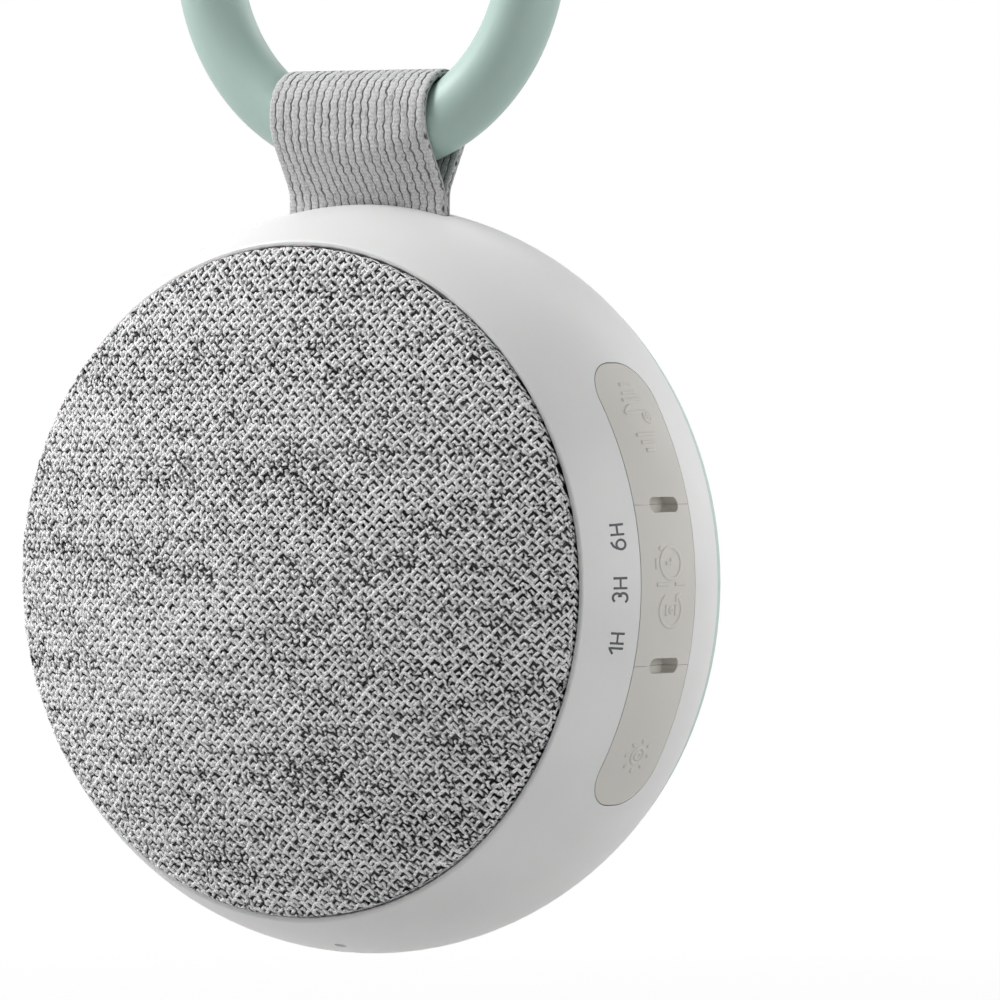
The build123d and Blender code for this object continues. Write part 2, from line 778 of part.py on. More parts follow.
def speaker_gasket():
    """Foam ring between the speaker and the baffle."""
    ring = tube(basket_radius, speaker_opening_radius + diffuser_gap, baffle_back_y, flange_front_y)
    return ring - ring_of_holes(screw_hole_radius + gate_gap, speaker_screw_circle,
                                baffle_back_y - 1, flange_front_y + 1)


def speaker_basket():
    """Stamped basket: flange, four-windowed cone and the floor that holds the pot."""
    mouth = cone_radius + surround_width
    throat = pot_radius + running_clearance
    coil_hole = coil_inner_radius + coil_thickness + pot_wall / 2
    basket = turned_outline(
        (mouth, flange_front_y), (basket_radius, flange_front_y), (basket_radius, flange_back_y),
        (mouth + basket_wall, flange_back_y), (throat + basket_wall, basket_back_y),
        (coil_hole, basket_back_y), (coil_hole, basket_back_y - basket_wall),
        (throat, basket_back_y - basket_wall), (mouth, flange_back_y))
    window_mid = (flange_back_y + basket_back_y) / 2
    window = Pos(0, window_mid, 0) * Box(4 * mouth, basket_depth * 0.5, throat)
    basket = basket - window - Rot(0, 90, 0) * window
    return basket - ring_of_holes(screw_hole_radius + gate_gap, speaker_screw_circle,
                                  flange_front_y - 1, flange_back_y + 1)


def speaker_surround():
    """Half-roll rubber edge between the cone and the flange."""
    inner = cone_radius + running_clearance
    outer = cone_radius + surround_width
    lip = outer + surround_lip
    middle = (inner + outer) / 2
    roll = (outer - inner) / 2
    base = flange_front_y
    top = base - surround_thickness
    return turned(
        ThreePointArc((inner, top), (middle, top - roll), (outer, top)),
        Line((outer, top), (lip, top)),
        Line((lip, top), (lip, base)),
        Line((lip, base), (outer - surround_thickness, base)),
        ThreePointArc((outer - surround_thickness, base), (middle, base - roll + surround_thickness),
                      (inner + surround_thickness, base)),
        Line((inner + surround_thickness, base), (inner, base)),
        Line((inner, base), (inner, top)))


coil_outer_radius = coil_inner_radius + coil_thickness
coil_back_y = pot_front_y + basket_wall + coil_overlap
coil_front_y = coil_back_y - coil_length


def speaker_cone():
    """Cone from the voice coil out to the surround."""
    neck_y = coil_front_y + cone_thickness
    rim_y = flange_front_y
    return turned_outline(
        (coil_outer_radius, neck_y), (coil_outer_radius, neck_y + cone_thickness),
        (cone_radius, rim_y + cone_thickness), (cone_radius, rim_y))


def voice_coil():
    """Coil and former that hang in the magnet's gap."""
    return tube(coil_outer_radius, coil_inner_radius, coil_front_y, coil_back_y)


def dust_cap():
    """Shallow dome that closes the coil at the cone's neck."""
    base = coil_front_y
    ball = (coil_outer_radius ** 2 + dust_cap_height ** 2) / (2 * dust_cap_height)
    centre_y = base - dust_cap_height + ball

    def arc(radius):
        """Arc of a ball about the cap's own centre, from the axis out to the cap's foot."""
        foot = sqrt(radius ** 2 - (centre_y - base) ** 2)
        middle = (foot / 2, centre_y - sqrt(radius ** 2 - (foot / 2) ** 2))
        return ThreePointArc((0, centre_y - radius), middle, (foot, base))

    outer = arc(ball)
    inner = arc(ball - dust_cap_thickness)
    return turned(outer, Line(outer @ 1, inner @ 1), inner, Line(inner @ 0, outer @ 0))


def speaker_spider():
    """Flat cloth ring that centres the coil."""
    back = basket_back_y - basket_wall - spider_height
    front = back - spider_thickness
    mouth = cone_radius + surround_width
    throat = pot_radius + running_clearance
    share = (basket_back_y - basket_wall - back) / (basket_depth - basket_wall)
    outer = throat + (mouth - throat) * share - running_clearance
    return tube(outer, coil_outer_radius + 2 * running_clearance, front, back)


def magnet_pot():
    """Steel cup round the magnet."""
    bottom_y = pot_back_y - pot_floor
    return turned_outline(
        (0, bottom_y), (pot_radius - pot_wall, bottom_y), (pot_radius - pot_wall, basket_back_y),
        (pot_radius, basket_back_y), (pot_radius, pot_back_y), (0, pot_back_y))


def speaker_magnet():
    """Disc magnet on the pot's floor."""
    return disc(magnet_radius, pot_back_y - pot_floor - magnet_height, pot_back_y - pot_floor)


def top_plate():
    """Steel pole plate on the magnet."""
    back = pot_back_y - pot_floor - magnet_height
    return disc(top_plate_radius, back - top_plate_height, back)


def speaker_screws():
    """Four screws that hold the speaker to the baffle."""
    one = Pos(0, flange_back_y, 0) * screw(speaker_screw_length)
    return Compound([on_circle(speaker_screw_circle, angle, one) for angle in corner_angles])


# ---------------------------------------------------------------- carrier frame and electronics
def board_hole_places():
    """Places (x, z) of the main board's four screws."""
    top = main_board_top_z - board_hole_inset
    bottom = board_bottom_z + board_hole_inset
    return [(x, z) for x in (-board_hole_x, board_hole_x) for z in (top, bottom)]


def inner_frame():
    """Carrier plate on the housing's bosses, with standoffs and two towers for the key boards."""
    frame = disc(frame_radius, frame_front_y, frame_back_y)
    for x, z in board_hole_places():
        frame = frame + rod(standoff_radius, board_back_y, frame_front_y, x, z)
    tower_front = strip_centre_y - key_board_width / 2
    for side in (1, -1):
        tower = block((tower_x, tower_x + frame_tower_thickness), (tower_front, frame_front_y),
                      (-key_board_half_length, key_board_half_length))
        frame = frame + on_side(tower, side)
    for x, z in board_hole_places():
        frame = frame - rod(screw_hole_radius, board_back_y - 1, frame_back_y + 1, x, z)
    for angle in corner_angles:
        frame = frame - on_circle(boss_circle_radius, angle,
                                  rod(screw_hole_radius + gate_gap, frame_front_y - 1,
                                      frame_back_y + 1))
    for height in (cable_slot_height, -cable_slot_height / 2 - battery_rounding):
        frame = frame - block((-cable_slot_length / 2, cable_slot_length / 2),
                              (frame_front_y - 1, frame_back_y + 1),
                              (height - cable_slot_width / 2, height + cable_slot_width / 2))
    return frame


def frame_screws():
    """Four screws that hold the carrier frame to the housing."""
    one = Pos(0, frame_back_y, 0) * screw(frame_screw_length + frame_thickness - 1)
    return Compound([on_circle(boss_circle_radius, angle, one) for angle in corner_angles])


def battery_cell():
    """Flat lithium cell behind the speaker."""
    back = frame_front_y - battery_pad_thickness
    half_x = battery_width / 2
    half_z = battery_height / 2
    cell = block((-half_x, half_x), (back - battery_thickness, back),
                 (battery_centre_z - half_z, battery_centre_z + half_z))
    return fillet(cell.edges().filter_by(Axis.Z), battery_rounding)


def battery_pad():
    """Foam tape that holds the cell to the carrier frame."""
    half_x = battery_width / 2 - battery_rounding
    half_z = battery_height / 2 - battery_rounding
    return block((-half_x, half_x), (frame_front_y - battery_pad_thickness, frame_front_y),
                 (battery_centre_z - half_z, battery_centre_z + half_z))


def main_board():
    """Main circuit board in the lower half of the housing."""
    half = main_board_width / 2
    board = block((-half, half), (board_front_y, board_back_y), (board_bottom_z, main_board_top_z))
    for x, z in board_hole_places():
        board = board - rod(screw_hole_radius + running_clearance, board_front_y - 1,
                            board_back_y + 1, x, z)
    return board


def board_chips():
    """Chips and coils on the front of the main board."""
    span = main_board_top_z - board_bottom_z
    chips = []
    for across, down, width, height, thickness in chip_layout:
        x = main_board_width * across
        z = main_board_top_z - span * down
        chips.append(block((x - width / 2, x + width / 2), (board_front_y - thickness, board_front_y),
                           (z - height / 2, z + height / 2)))
    return Compound(chips)


def usb_socket():
    """USB-C receptacle whose mouth is at the housing's bottom opening."""
    mouth_z = -(wall_radius(usb_y, housing_wall) - usb_wall_gap)
    outer = Pos(0, usb_y) * RectangleRounded(usb_width, usb_height, usb_height * 0.49)
    inner_height = usb_height - 2 * usb_wall
    inner = Pos(0, usb_y) * RectangleRounded(usb_width - 2 * usb_wall, inner_height,
                                             inner_height * 0.49)
    shell = Pos(0, 0, mouth_z) * extrude(outer, amount=usb_depth)
    shell = shell - Pos(0, 0, mouth_z - 1) * extrude(inner, amount=usb_depth)
    tongue = block((-usb_width * 0.37, usb_width * 0.37), (usb_y - usb_wall, usb_y + usb_wall),
                   (mouth_z + 1, mouth_z + usb_depth))
    return shell + tongue


def board_screws():
    """Four screws that hold the main board to the carrier frame."""
    one = Pos(0, board_front_y, 0) * Rot(180, 0, 0) * screw(board_screw_length)
    return Compound([Pos(x, 0, z) * one for x, z in board_hole_places()])


def led_board():
    """White round board behind the diffuser."""
    return disc(led_board_radius, frame_back_y, led_board_back_y)


def leds():
    """Warm white LEDs in two circles."""
    half = led_size / 2
    chip = block((-half, half), (led_board_back_y, led_board_back_y + led_height), (-half, half))
    chips = []
    for radius, count in zip(led_circle_radii, led_circle_counts):
        for step in range(count):
            chips.append(on_circle(radius, 360 / count * step, chip))
    return Compound(chips)


# ---------------------------------------------------------------- the parts and their files
key_names = {1: ("sound", "timer", "light"), -1: ("volume_down", "volume_up", "power")}
side_names = {1: "right", -1: "left"}


def housing_parts():
    """Every piece that is modelled about the centre of the housing."""
    parts = {
        "housing": housing(),
        "strap_tail": strap_tail(),
        "strap_anchor_bar": strap_anchor_bar(),
        "knit_cover": knit_cover(),
        "speaker_grille": grille(),
        "bezel_ring": bezel_ring(),
        "light_diffuser": diffuser(),
        "light_reflector": light_reflector(),
        "speaker_gasket": speaker_gasket(),
        "speaker_basket": speaker_basket(),
        "speaker_surround": speaker_surround(),
        "speaker_cone": speaker_cone(),
        "voice_coil": voice_coil(),
        "dust_cap": dust_cap(),
        "speaker_spider": speaker_spider(),
        "magnet_pot": magnet_pot(),
        "speaker_magnet": speaker_magnet(),
        "magnet_top_plate": top_plate(),
        "speaker_screws": speaker_screws(),
        "inner_frame": inner_frame(),
        "frame_screws": frame_screws(),
        "battery_cell": battery_cell(),
        "battery_pad": battery_pad(),
        "main_board": main_board(),
        "board_chips": board_chips(),
        "usb_socket": usb_socket(),
        "board_screws": board_screws(),
        "led_board": led_board(),
        "led_chips": leds(),
    }
    for side, names in key_names.items():
        parts[side_names[side] + "_key_board"] = key_board(side)
        parts[side_names[side] + "_key_switches"] = key_switches(side)
        for index, name in enumerate(names):
            parts[name + "_key"] = key(index, side)
            parts[name + "_switch_stem"] = switch_stem(index, side)
    return parts


def all_parts():
    """Every piece in the frame of the hanging ring."""
    parts = {
        "hanging_ring": hanging_ring(),
        "ring_gate": ring_gate(),
        "gate_pin": gate_pin(),
        "gate_spring": gate_spring(),
        "strap_loop": strap_loop(),
    }
    for name, shape in housing_parts().items():
        parts[name] = Pos(0, 0, -hang_drop) * shape
    return parts


os.makedirs("parts", exist_ok=True)
for part_name, part_shape in all_parts().items():
    export_step(part_shape, f"parts/{part_name}.step")
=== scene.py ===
"""Looks of a round sound machine that hangs from a ring on a webbing strap.

Metres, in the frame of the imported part: X is to the right, Y runs from the knit front to the light
at the back, and Z is up.  The origin is the centre of the hanging ring.
"""

import logging
import math
from dataclasses import dataclass, field
from enum import Enum
from functools import cache

import bmesh
import bpy
import numpy as np
from mathutils import Matrix, Vector


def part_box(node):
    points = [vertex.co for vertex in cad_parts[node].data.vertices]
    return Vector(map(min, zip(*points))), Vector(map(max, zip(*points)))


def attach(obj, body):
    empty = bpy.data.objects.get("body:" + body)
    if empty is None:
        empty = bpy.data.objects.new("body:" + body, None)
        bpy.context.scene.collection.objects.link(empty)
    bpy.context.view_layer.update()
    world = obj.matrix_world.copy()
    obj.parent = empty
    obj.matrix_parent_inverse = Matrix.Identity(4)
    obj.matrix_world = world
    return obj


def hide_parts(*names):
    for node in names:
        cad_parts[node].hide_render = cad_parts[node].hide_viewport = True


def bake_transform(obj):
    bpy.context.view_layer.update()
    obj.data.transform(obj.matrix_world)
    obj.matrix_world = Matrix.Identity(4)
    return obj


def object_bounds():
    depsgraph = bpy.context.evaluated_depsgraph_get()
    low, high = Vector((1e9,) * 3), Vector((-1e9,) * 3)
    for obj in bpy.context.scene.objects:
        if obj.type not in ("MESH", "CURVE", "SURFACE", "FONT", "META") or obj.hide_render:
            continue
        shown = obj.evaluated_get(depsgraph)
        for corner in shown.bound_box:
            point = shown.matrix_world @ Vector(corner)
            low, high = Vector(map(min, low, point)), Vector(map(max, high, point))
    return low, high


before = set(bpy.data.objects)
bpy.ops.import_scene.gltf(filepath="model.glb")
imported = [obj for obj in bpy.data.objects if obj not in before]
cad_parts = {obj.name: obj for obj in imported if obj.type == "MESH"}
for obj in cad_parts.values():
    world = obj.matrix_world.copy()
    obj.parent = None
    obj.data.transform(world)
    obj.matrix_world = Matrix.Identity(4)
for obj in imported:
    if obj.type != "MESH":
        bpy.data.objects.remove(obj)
CAD_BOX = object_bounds()

MM = 0.001
LOG = logging.getLogger("sound_machine")

Triple = tuple[float, float, float]
Colour = Triple
Point2 = tuple[float, float]
Socket = bpy.types.NodeSocket
Outputs = bpy.types.NodeOutputs


# ---------- node trees
class Graph:
    """A node tree under construction, for shaders and for geometry alike."""

    def __init__(self, tree: bpy.types.NodeTree) -> None:
        """Start from a tree that already exists."""
        self.tree = tree

    def feed(self, node: bpy.types.Node, inputs: dict) -> bpy.types.Node:
        """Feed inputs of a node.

        Args:
            node: The node to feed.
            inputs: Input name or number to a value, or to a socket that feeds it.

        Returns:
            The same node.
        """
        for key, value in inputs.items():
            if isinstance(value, Socket):
                self.tree.links.new(value, node.inputs[key])
            else:
                node.inputs[key].default_value = value
        return node

    def add(self, kind: str, inputs: dict | None = None, **settings) -> bpy.types.Node:
        """Add a node, set its options and feed its inputs.

        Args:
            kind: Blender's name of the node type.
            inputs: Input name or number to a value, or to a socket that feeds it.
            **settings: Options of the node itself.

        Returns:
            The new node.
        """
        node = self.tree.nodes.new(kind)
        for name, value in settings.items():
            setattr(node, name, value)
        return self.feed(node, inputs or {})

    def math(self, operation: str, *values: float | Socket) -> Socket:
        """One step of arithmetic on numbers or sockets."""
        inputs = dict(enumerate(values))
        return self.add("ShaderNodeMath", inputs, operation=operation).outputs[0]

    def vector(self, operation: str, *values: Vector | Socket) -> Socket:
        """One step of vector arithmetic."""
        inputs = dict(enumerate(values))
        return self.add("ShaderNodeVectorMath", inputs, operation=operation).outputs[0]

    def length(self, vector: Socket) -> Socket:
        """Length of a vector."""
        node = self.add("ShaderNodeVectorMath", {0: vector}, operation="LENGTH")
        return node.outputs["Value"]

    def parts(self, vector: Socket) -> Outputs:
        """The parts of a vector, under X, Y and Z."""
        return self.add("ShaderNodeSeparateXYZ", {0: vector}).outputs

    def joined(self, *parts: float | Socket) -> Socket:
        """Vector from its three parts."""
        return self.add("ShaderNodeCombineXYZ", dict(enumerate(parts))).outputs[0]

    def attribute(self, name: str, output: str) -> Socket:
        """Attribute of a mesh, for a shader."""
        return self.add("ShaderNodeAttribute", attribute_name=name).outputs[output]

    def group(self, tree: bpy.types.NodeTree, inputs: dict) -> Outputs:
        """Outputs of a shader node group."""
        return self.add("ShaderNodeGroup", inputs, node_tree=tree).outputs

    def noise(self, place: Socket, scale: float | Socket, detail: float = 2.0,
              roughness: float = 0.5) -> Socket:
        """Noise value about 0.5 at a place.

        Args:
            place: The coordinates to read it at.
            scale: Waves per metre.
            detail: Number of finer layers.
            roughness: Strength of the finer layers.

        Returns:
            The noise value's socket.
        """
        node = self.add("ShaderNodeTexNoise", {"Vector": place, "Scale": scale, "Detail": detail,
                                               "Roughness": roughness})
        return node.outputs["Fac"]

    def spread(self, value: Socket, low: float, high: float, new_low: float | Socket,
               new_high: float | Socket) -> Socket:
        """Map a range of values to another, clamped at its ends."""
        node = self.add("ShaderNodeMapRange", {"Value": value, "From Min": low, "From Max": high,
                                               "To Min": new_low, "To Max": new_high})
        return node.outputs["Result"]

    def blend(self, factor: Socket | float, first: Colour | Socket, second: Colour | Socket,
              mode: str = "MIX") -> Socket:
        """Mix two colours by a factor.

        Args:
            factor: Share of the second colour.
            first: The colour at factor 0.
            second: The colour at factor 1.
            mode: How the second is laid over the first.

        Returns:
            The mixed colour's socket.
        """
        node = self.add("ShaderNodeMix", data_type="RGBA", blend_type=mode)
        low, high = (end if isinstance(end, Socket) else (*end, 1.0) for end in (first, second))
        return self.feed(node, {0: factor, 6: low, 7: high}).outputs[2]

    def shaded(self, colour: Colour | Socket, shade: Socket) -> Socket:
        """Multiply a colour by a grey shade."""
        tint = self.add("ShaderNodeCombineColor", dict.fromkeys(range(3), shade)).outputs[0]
        return self.blend(1.0, colour, tint, "MULTIPLY")

    def ramp(self, value: Socket, stops: list[tuple[float, Colour]]) -> Socket:
        """Colour ramp through stops, each a place and a colour."""
        node = self.add("ShaderNodeValToRGB", {"Fac": value})
        elements = node.color_ramp.elements
        while len(elements) < len(stops):
            elements.new(0.5)
        for element, (place, colour) in zip(elements, stops):
            element.position = place
            element.color = (*colour, 1.0)
        return node.outputs["Color"]


class Effect:
    """Shader node groups that several finishes share, each built once."""

    @staticmethod
    def opened(name: str, inputs: dict[str, float | None]) -> tuple[Graph, Outputs]:
        """Start a group.

        Args:
            name: Name of the group.
            inputs: Name of each input to its default, or to None for a vector.

        Returns:
            The group's graph and its inputs' sockets.
        """
        tree = bpy.data.node_groups.new(name, "ShaderNodeTree")
        for label, value in inputs.items():
            kind = "NodeSocketVector" if value is None else "NodeSocketFloat"
            socket = tree.interface.new_socket(label, in_out="INPUT", socket_type=kind)
            if value is not None:
                socket.default_value = value
        graph = Graph(tree)
        return graph, graph.add("NodeGroupInput").outputs

    @staticmethod
    def closed(graph: Graph, outputs: dict[str, Socket]) -> bpy.types.NodeTree:
        """Give a group its outputs, all of them numbers, and return its tree."""
        for label in outputs:
            graph.tree.interface.new_socket(label, in_out="OUTPUT", socket_type="NodeSocketFloat")
        graph.add("NodeGroupOutput", outputs)
        return graph.tree

    @staticmethod
    @cache
    def moulding() -> bpy.types.NodeTree:
        """Surface of a moulded piece: fine spark texture, slow waviness and handling marks."""
        graph, given = Effect.opened("moulding", {
            "Place": None, "Grain per metre": 5000.0, "Waves per metre": 60.0,
            "Mark strength": 0.1})
        grain = graph.noise(given["Place"], given["Grain per metre"], 3.0, 0.6)
        waves = graph.noise(given["Place"], given["Waves per metre"], 1.0)
        marks = graph.noise(given["Place"], 420.0, 5.0, 0.7)
        return Effect.closed(graph, {
            "Height": graph.math("MULTIPLY_ADD", grain, 0.4, graph.math("MULTIPLY", waves, 0.6)),
            "Shade": graph.spread(waves, 0.3, 0.7, 0.97, 1.03),
            "Gloss": graph.spread(marks, 0.45, 0.75, 0.0, given["Mark strength"])})

    @staticmethod
    @cache
    def yarn() -> bpy.types.NodeTree:
        """Spun yarn close up: short light and dark fibres that lie along one direction."""
        graph, given = Effect.opened("yarn", {
            "Place": None, "Fibres per metre": 5200.0, "Stretch": None, "Contrast": 0.3})
        along = graph.vector("MULTIPLY", given["Place"], given["Stretch"])
        fibres = graph.noise(along, given["Fibres per metre"], 3.0, 0.65)
        flecks = graph.noise(along, graph.math("MULTIPLY", given["Fibres per metre"], 0.45))
        low = graph.math("SUBTRACT", 1.0, given["Contrast"])
        high = graph.math("ADD", 1.0, given["Contrast"])
        return Effect.closed(graph, {
            "Height": fibres,
            "Shade": graph.spread(fibres, 0.3, 0.7, low, high),
            "Dark fibres": graph.spread(flecks, 0.56, 0.66, 0.0, 1.0)})

    @staticmethod
    @cache
    def heather() -> bpy.types.NodeTree:
        """Slow change of tone in a heather cloth, drawn out along the courses of the knit."""
        graph, given = Effect.opened("heather", {"Place": None, "Streak per metre": 90.0})
        drawn = graph.vector("MULTIPLY", given["Place"], Vector((0.28, 1.0, 1.9)))
        streaks = graph.noise(drawn, given["Streak per metre"], 3.0, 0.6)
        return Effect.closed(graph, {"Tone": graph.spread(streaks, 0.33, 0.67, 0.0, 1.0)})


# ---------- finishes
CLOTH_GLOSS = {"Specular IOR Level": 0.2, "Sheen Weight": 0.1}


@dataclass(frozen=True)
class Finish:
    """One surface finish.  Each kind of finish fills the shader in its own paint method."""

    name: str
    colour: Colour
    roughness: float = 0.5

    def scaled(self, share: float) -> Colour:
        """This finish's colour made lighter or darker, up to white."""
        return tuple(min(1.0, share * part) for part in self.colour)

    def paint(self, graph: Graph, shader: bpy.types.Node, place: Socket) -> None:
        """Feed the shader's changing inputs.

        Args:
            graph: The material's node tree.
            shader: Its Principled BSDF.
            place: Object coordinates.
        """
        graph.feed(shader, {"Base Color": (*self.colour, 1.0)})

    def material(self) -> bpy.types.Material:
        """Build the material, or return the one already built under this name."""
        known = bpy.data.materials.get("finish_" + self.name)
        if known:
            return known
        material = bpy.data.materials.new("finish_" + self.name)
        material.use_nodes = True
        graph = Graph(material.node_tree)
        shader = graph.tree.nodes["Principled BSDF"]
        graph.feed(shader, {"Roughness": self.roughness})
        self.paint(graph, shader, graph.add("ShaderNodeTexCoord").outputs["Object"])
        return material

    @staticmethod
    def bump(graph: Graph, shader: bpy.types.Node, height: Socket, distance: float) -> None:
        """Raise the surface by a height map.

        Args:
            graph: The material's node tree.
            shader: Its Principled BSDF.
            height: Height from 0 to 1.
            distance: Height of the relief, in metres.
        """
        node = graph.add("ShaderNodeBump", {"Height": height, "Distance": distance,
                                            "Strength": 1.0})
        graph.feed(shader, {"Normal": node.outputs["Normal"]})


@dataclass(frozen=True)
class Moulded(Finish):
    """Injection-moulded plastic or cast silicone."""

    grain_per_metre: float = 5000.0
    relief: float = 0.00001
    marks: float = 0.08
    specular: float = 0.5
    sheen: float = 0.0
    subsurface: float = 0.0

    def paint(self, graph: Graph, shader: bpy.types.Node, place: Socket) -> None:
        """Feed colour, roughness and bump from the moulding group."""
        look = graph.group(Effect.moulding(), {
            "Place": place, "Grain per metre": self.grain_per_metre, "Mark strength": self.marks})
        graph.feed(shader, {
            "Base Color": graph.shaded(self.colour, look["Shade"]),
            "Roughness": graph.math("ADD", look["Gloss"], self.roughness),
            "Specular IOR Level": self.specular, "Sheen Weight": self.sheen,
            "Subsurface Weight": self.subsurface, "Subsurface Scale": 2 * MM})
        self.bump(graph, shader, look["Height"], self.relief)


@dataclass(frozen=True)
class Metal(Finish):
    """Bare or plated metal with fine brushing."""

    brushing: float = 3000.0

    def paint(self, graph: Graph, shader: bpy.types.Node, place: Socket) -> None:
        """Feed colour and roughness from stretched noise."""
        lines = graph.vector("MULTIPLY", place, Vector((1.0, 0.06, 1.0)))
        brushed = graph.noise(lines, self.brushing, 3.0, 0.6)
        smooth, rough = 0.75 * self.roughness, 1.3 * self.roughness
        graph.feed(shader, {
            "Base Color": graph.blend(brushed, self.scaled(0.75), self.colour),
            "Roughness": graph.spread(brushed, 0.3, 0.7, smooth, rough),
            "Metallic": 1.0})
        self.bump(graph, shader, brushed, 0.000004)


@dataclass(frozen=True)
class Fibrous(Finish):
    """Foam, paper, tape and other matt materials of fibres or cells."""

    cells_per_metre: float = 3000.0
    contrast: float = 0.25
    relief: float = 0.00004

    def paint(self, graph: Graph, shader: bpy.types.Node, place: Socket) -> None:
        """Feed colour and bump from two layers of noise."""
        cells = graph.noise(place, self.cells_per_metre, 4.0, 0.65)
        patches = graph.math("MULTIPLY", graph.noise(place, 150.0), 0.3)
        both = graph.spread(graph.math("MULTIPLY_ADD", cells, 0.7, patches), 0.35, 0.65, 0.0, 1.0)
        dark, light = self.scaled(1.0 - self.contrast), self.scaled(1.0 + self.contrast)
        graph.feed(shader, {"Base Color": graph.blend(both, dark, light)})
        self.bump(graph, shader, cells, self.relief)


@dataclass(frozen=True)
class Board(Finish):
    """Circuit board with copper tracks under its solder mask."""

    tracks_per_metre: float = 900.0

    def paint(self, graph: Graph, shader: bpy.types.Node, place: Socket) -> None:
        """Feed colour and bump from a brick pattern that stands for the tracks."""
        turned = graph.add("ShaderNodeMapping", {"Vector": place,
                                                 "Rotation": (math.pi / 2, 0.0, 0.0)})
        black, white = (0, 0, 0, 1), (1, 1, 1, 1)
        bricks = graph.add("ShaderNodeTexBrick", {
            "Vector": turned.outputs[0], "Scale": self.tracks_per_metre / 2, "Mortar Size": 0.06,
            "Color1": black, "Color2": black, "Mortar": white})
        colour = graph.blend(bricks.outputs["Color"], self.colour, self.scaled(1.8))
        graph.feed(shader, {"Base Color": colour})
        self.bump(graph, shader, bricks.outputs["Fac"], 0.00003)


@dataclass(frozen=True)
class KnitYarn(Finish):
    """Two-ply heather yarn: each stitch has its tone, and its twist is an attribute; the grooves
    between the plies get painted shade.
    """

    dark: Colour = (0.014, 0.014, 0.016)
    middle: Colour = (0.30, 0.303, 0.308)
    twist_pitch: float = 1.10         # millimetres of yarn to one turn of the plies
    fleck_share: float = 0.95
    flecks_per_metre: float = 1900.0
    fibre_darkness: float = 0.22

    def paint(self, graph: Graph, shader: bpy.types.Node, place: Socket) -> None:
        """Feed colour and bump from the stitch's tone, the plies and the fibres, with painted shade
        in the grooves between the plies.
        """
        tone = graph.attribute("tone", "Fac")
        twist = graph.parts(graph.attribute("twist", "Vector"))
        phase = graph.math("MULTIPLY_ADD", twist["Z"], 2 * math.pi / self.twist_pitch,
                           graph.math("MULTIPLY", tone, 40.0))
        ply = graph.math("ADD", graph.math("MULTIPLY", twist["X"], graph.math("SINE", phase)),
                         graph.math("MULTIPLY", twist["Y"], graph.math("COSINE", phase)))
        ridge = graph.math("ABSOLUTE", ply)
        yarn = graph.group(Effect.yarn(), {"Place": place, "Stretch": (1.0, 1.0, 0.7),
                                           "Fibres per metre": 3600.0, "Contrast": 0.28})
        flecks = graph.math("SUBTRACT", graph.noise(place, self.flecks_per_metre, 2.0, 0.6), 0.5)
        mixed = graph.math("MULTIPLY_ADD", flecks, self.fleck_share, tone)
        amount = graph.spread(graph.noise(place, 700.0, 1.0), 0.35, 0.65, -0.05, -0.66)
        mixed = graph.math("ADD", mixed, graph.spread(ply, -0.55, -0.15, amount, 0.10))
        fibres = graph.math("MULTIPLY", yarn["Dark fibres"], self.fibre_darkness)
        colour = graph.ramp(graph.math("SUBTRACT", mixed, fibres), [
            (0.08, self.dark), (0.34, self.middle), (0.62, self.colour), (1.0, self.scaled(1.15))])
        # painted shade: the colour darkens to 0.6 in the grooves between the plies
        groove_shade = graph.spread(ridge, 0.0, 0.35, 0.6, 1.0)
        shade = graph.math("MULTIPLY", yarn["Shade"], groove_shade)
        graph.feed(shader, {"Base Color": graph.shaded(colour, shade), **CLOTH_GLOSS})
        relief = graph.math("MULTIPLY_ADD", yarn["Height"], 0.35, ridge)
        self.bump(graph, shader, relief, 0.00009)


@dataclass(frozen=True)
class KnitGroundShade(Finish):
    """Painted shade of the knit's pits: a dark sheet seen between the stitches, with heather tone
    mixed in.
    """

    light: Colour = (0.34, 0.342, 0.345)

    def paint(self, graph: Graph, shader: bpy.types.Node, place: Socket) -> None:
        """Feed colour from the heather and yarn groups."""
        tone = graph.group(Effect.heather(), {"Place": place})["Tone"]
        yarn = graph.group(Effect.yarn(), {"Place": place, "Stretch": (1.0, 1.0, 1.0),
                                           "Fibres per metre": 2600.0})
        share = graph.math("MULTIPLY", tone, yarn["Height"])
        graph.feed(shader, {"Base Color": graph.blend(share, self.colour, self.light),
                            "Specular IOR Level": 0.2})
        self.bump(graph, shader, yarn["Height"], 0.00012)


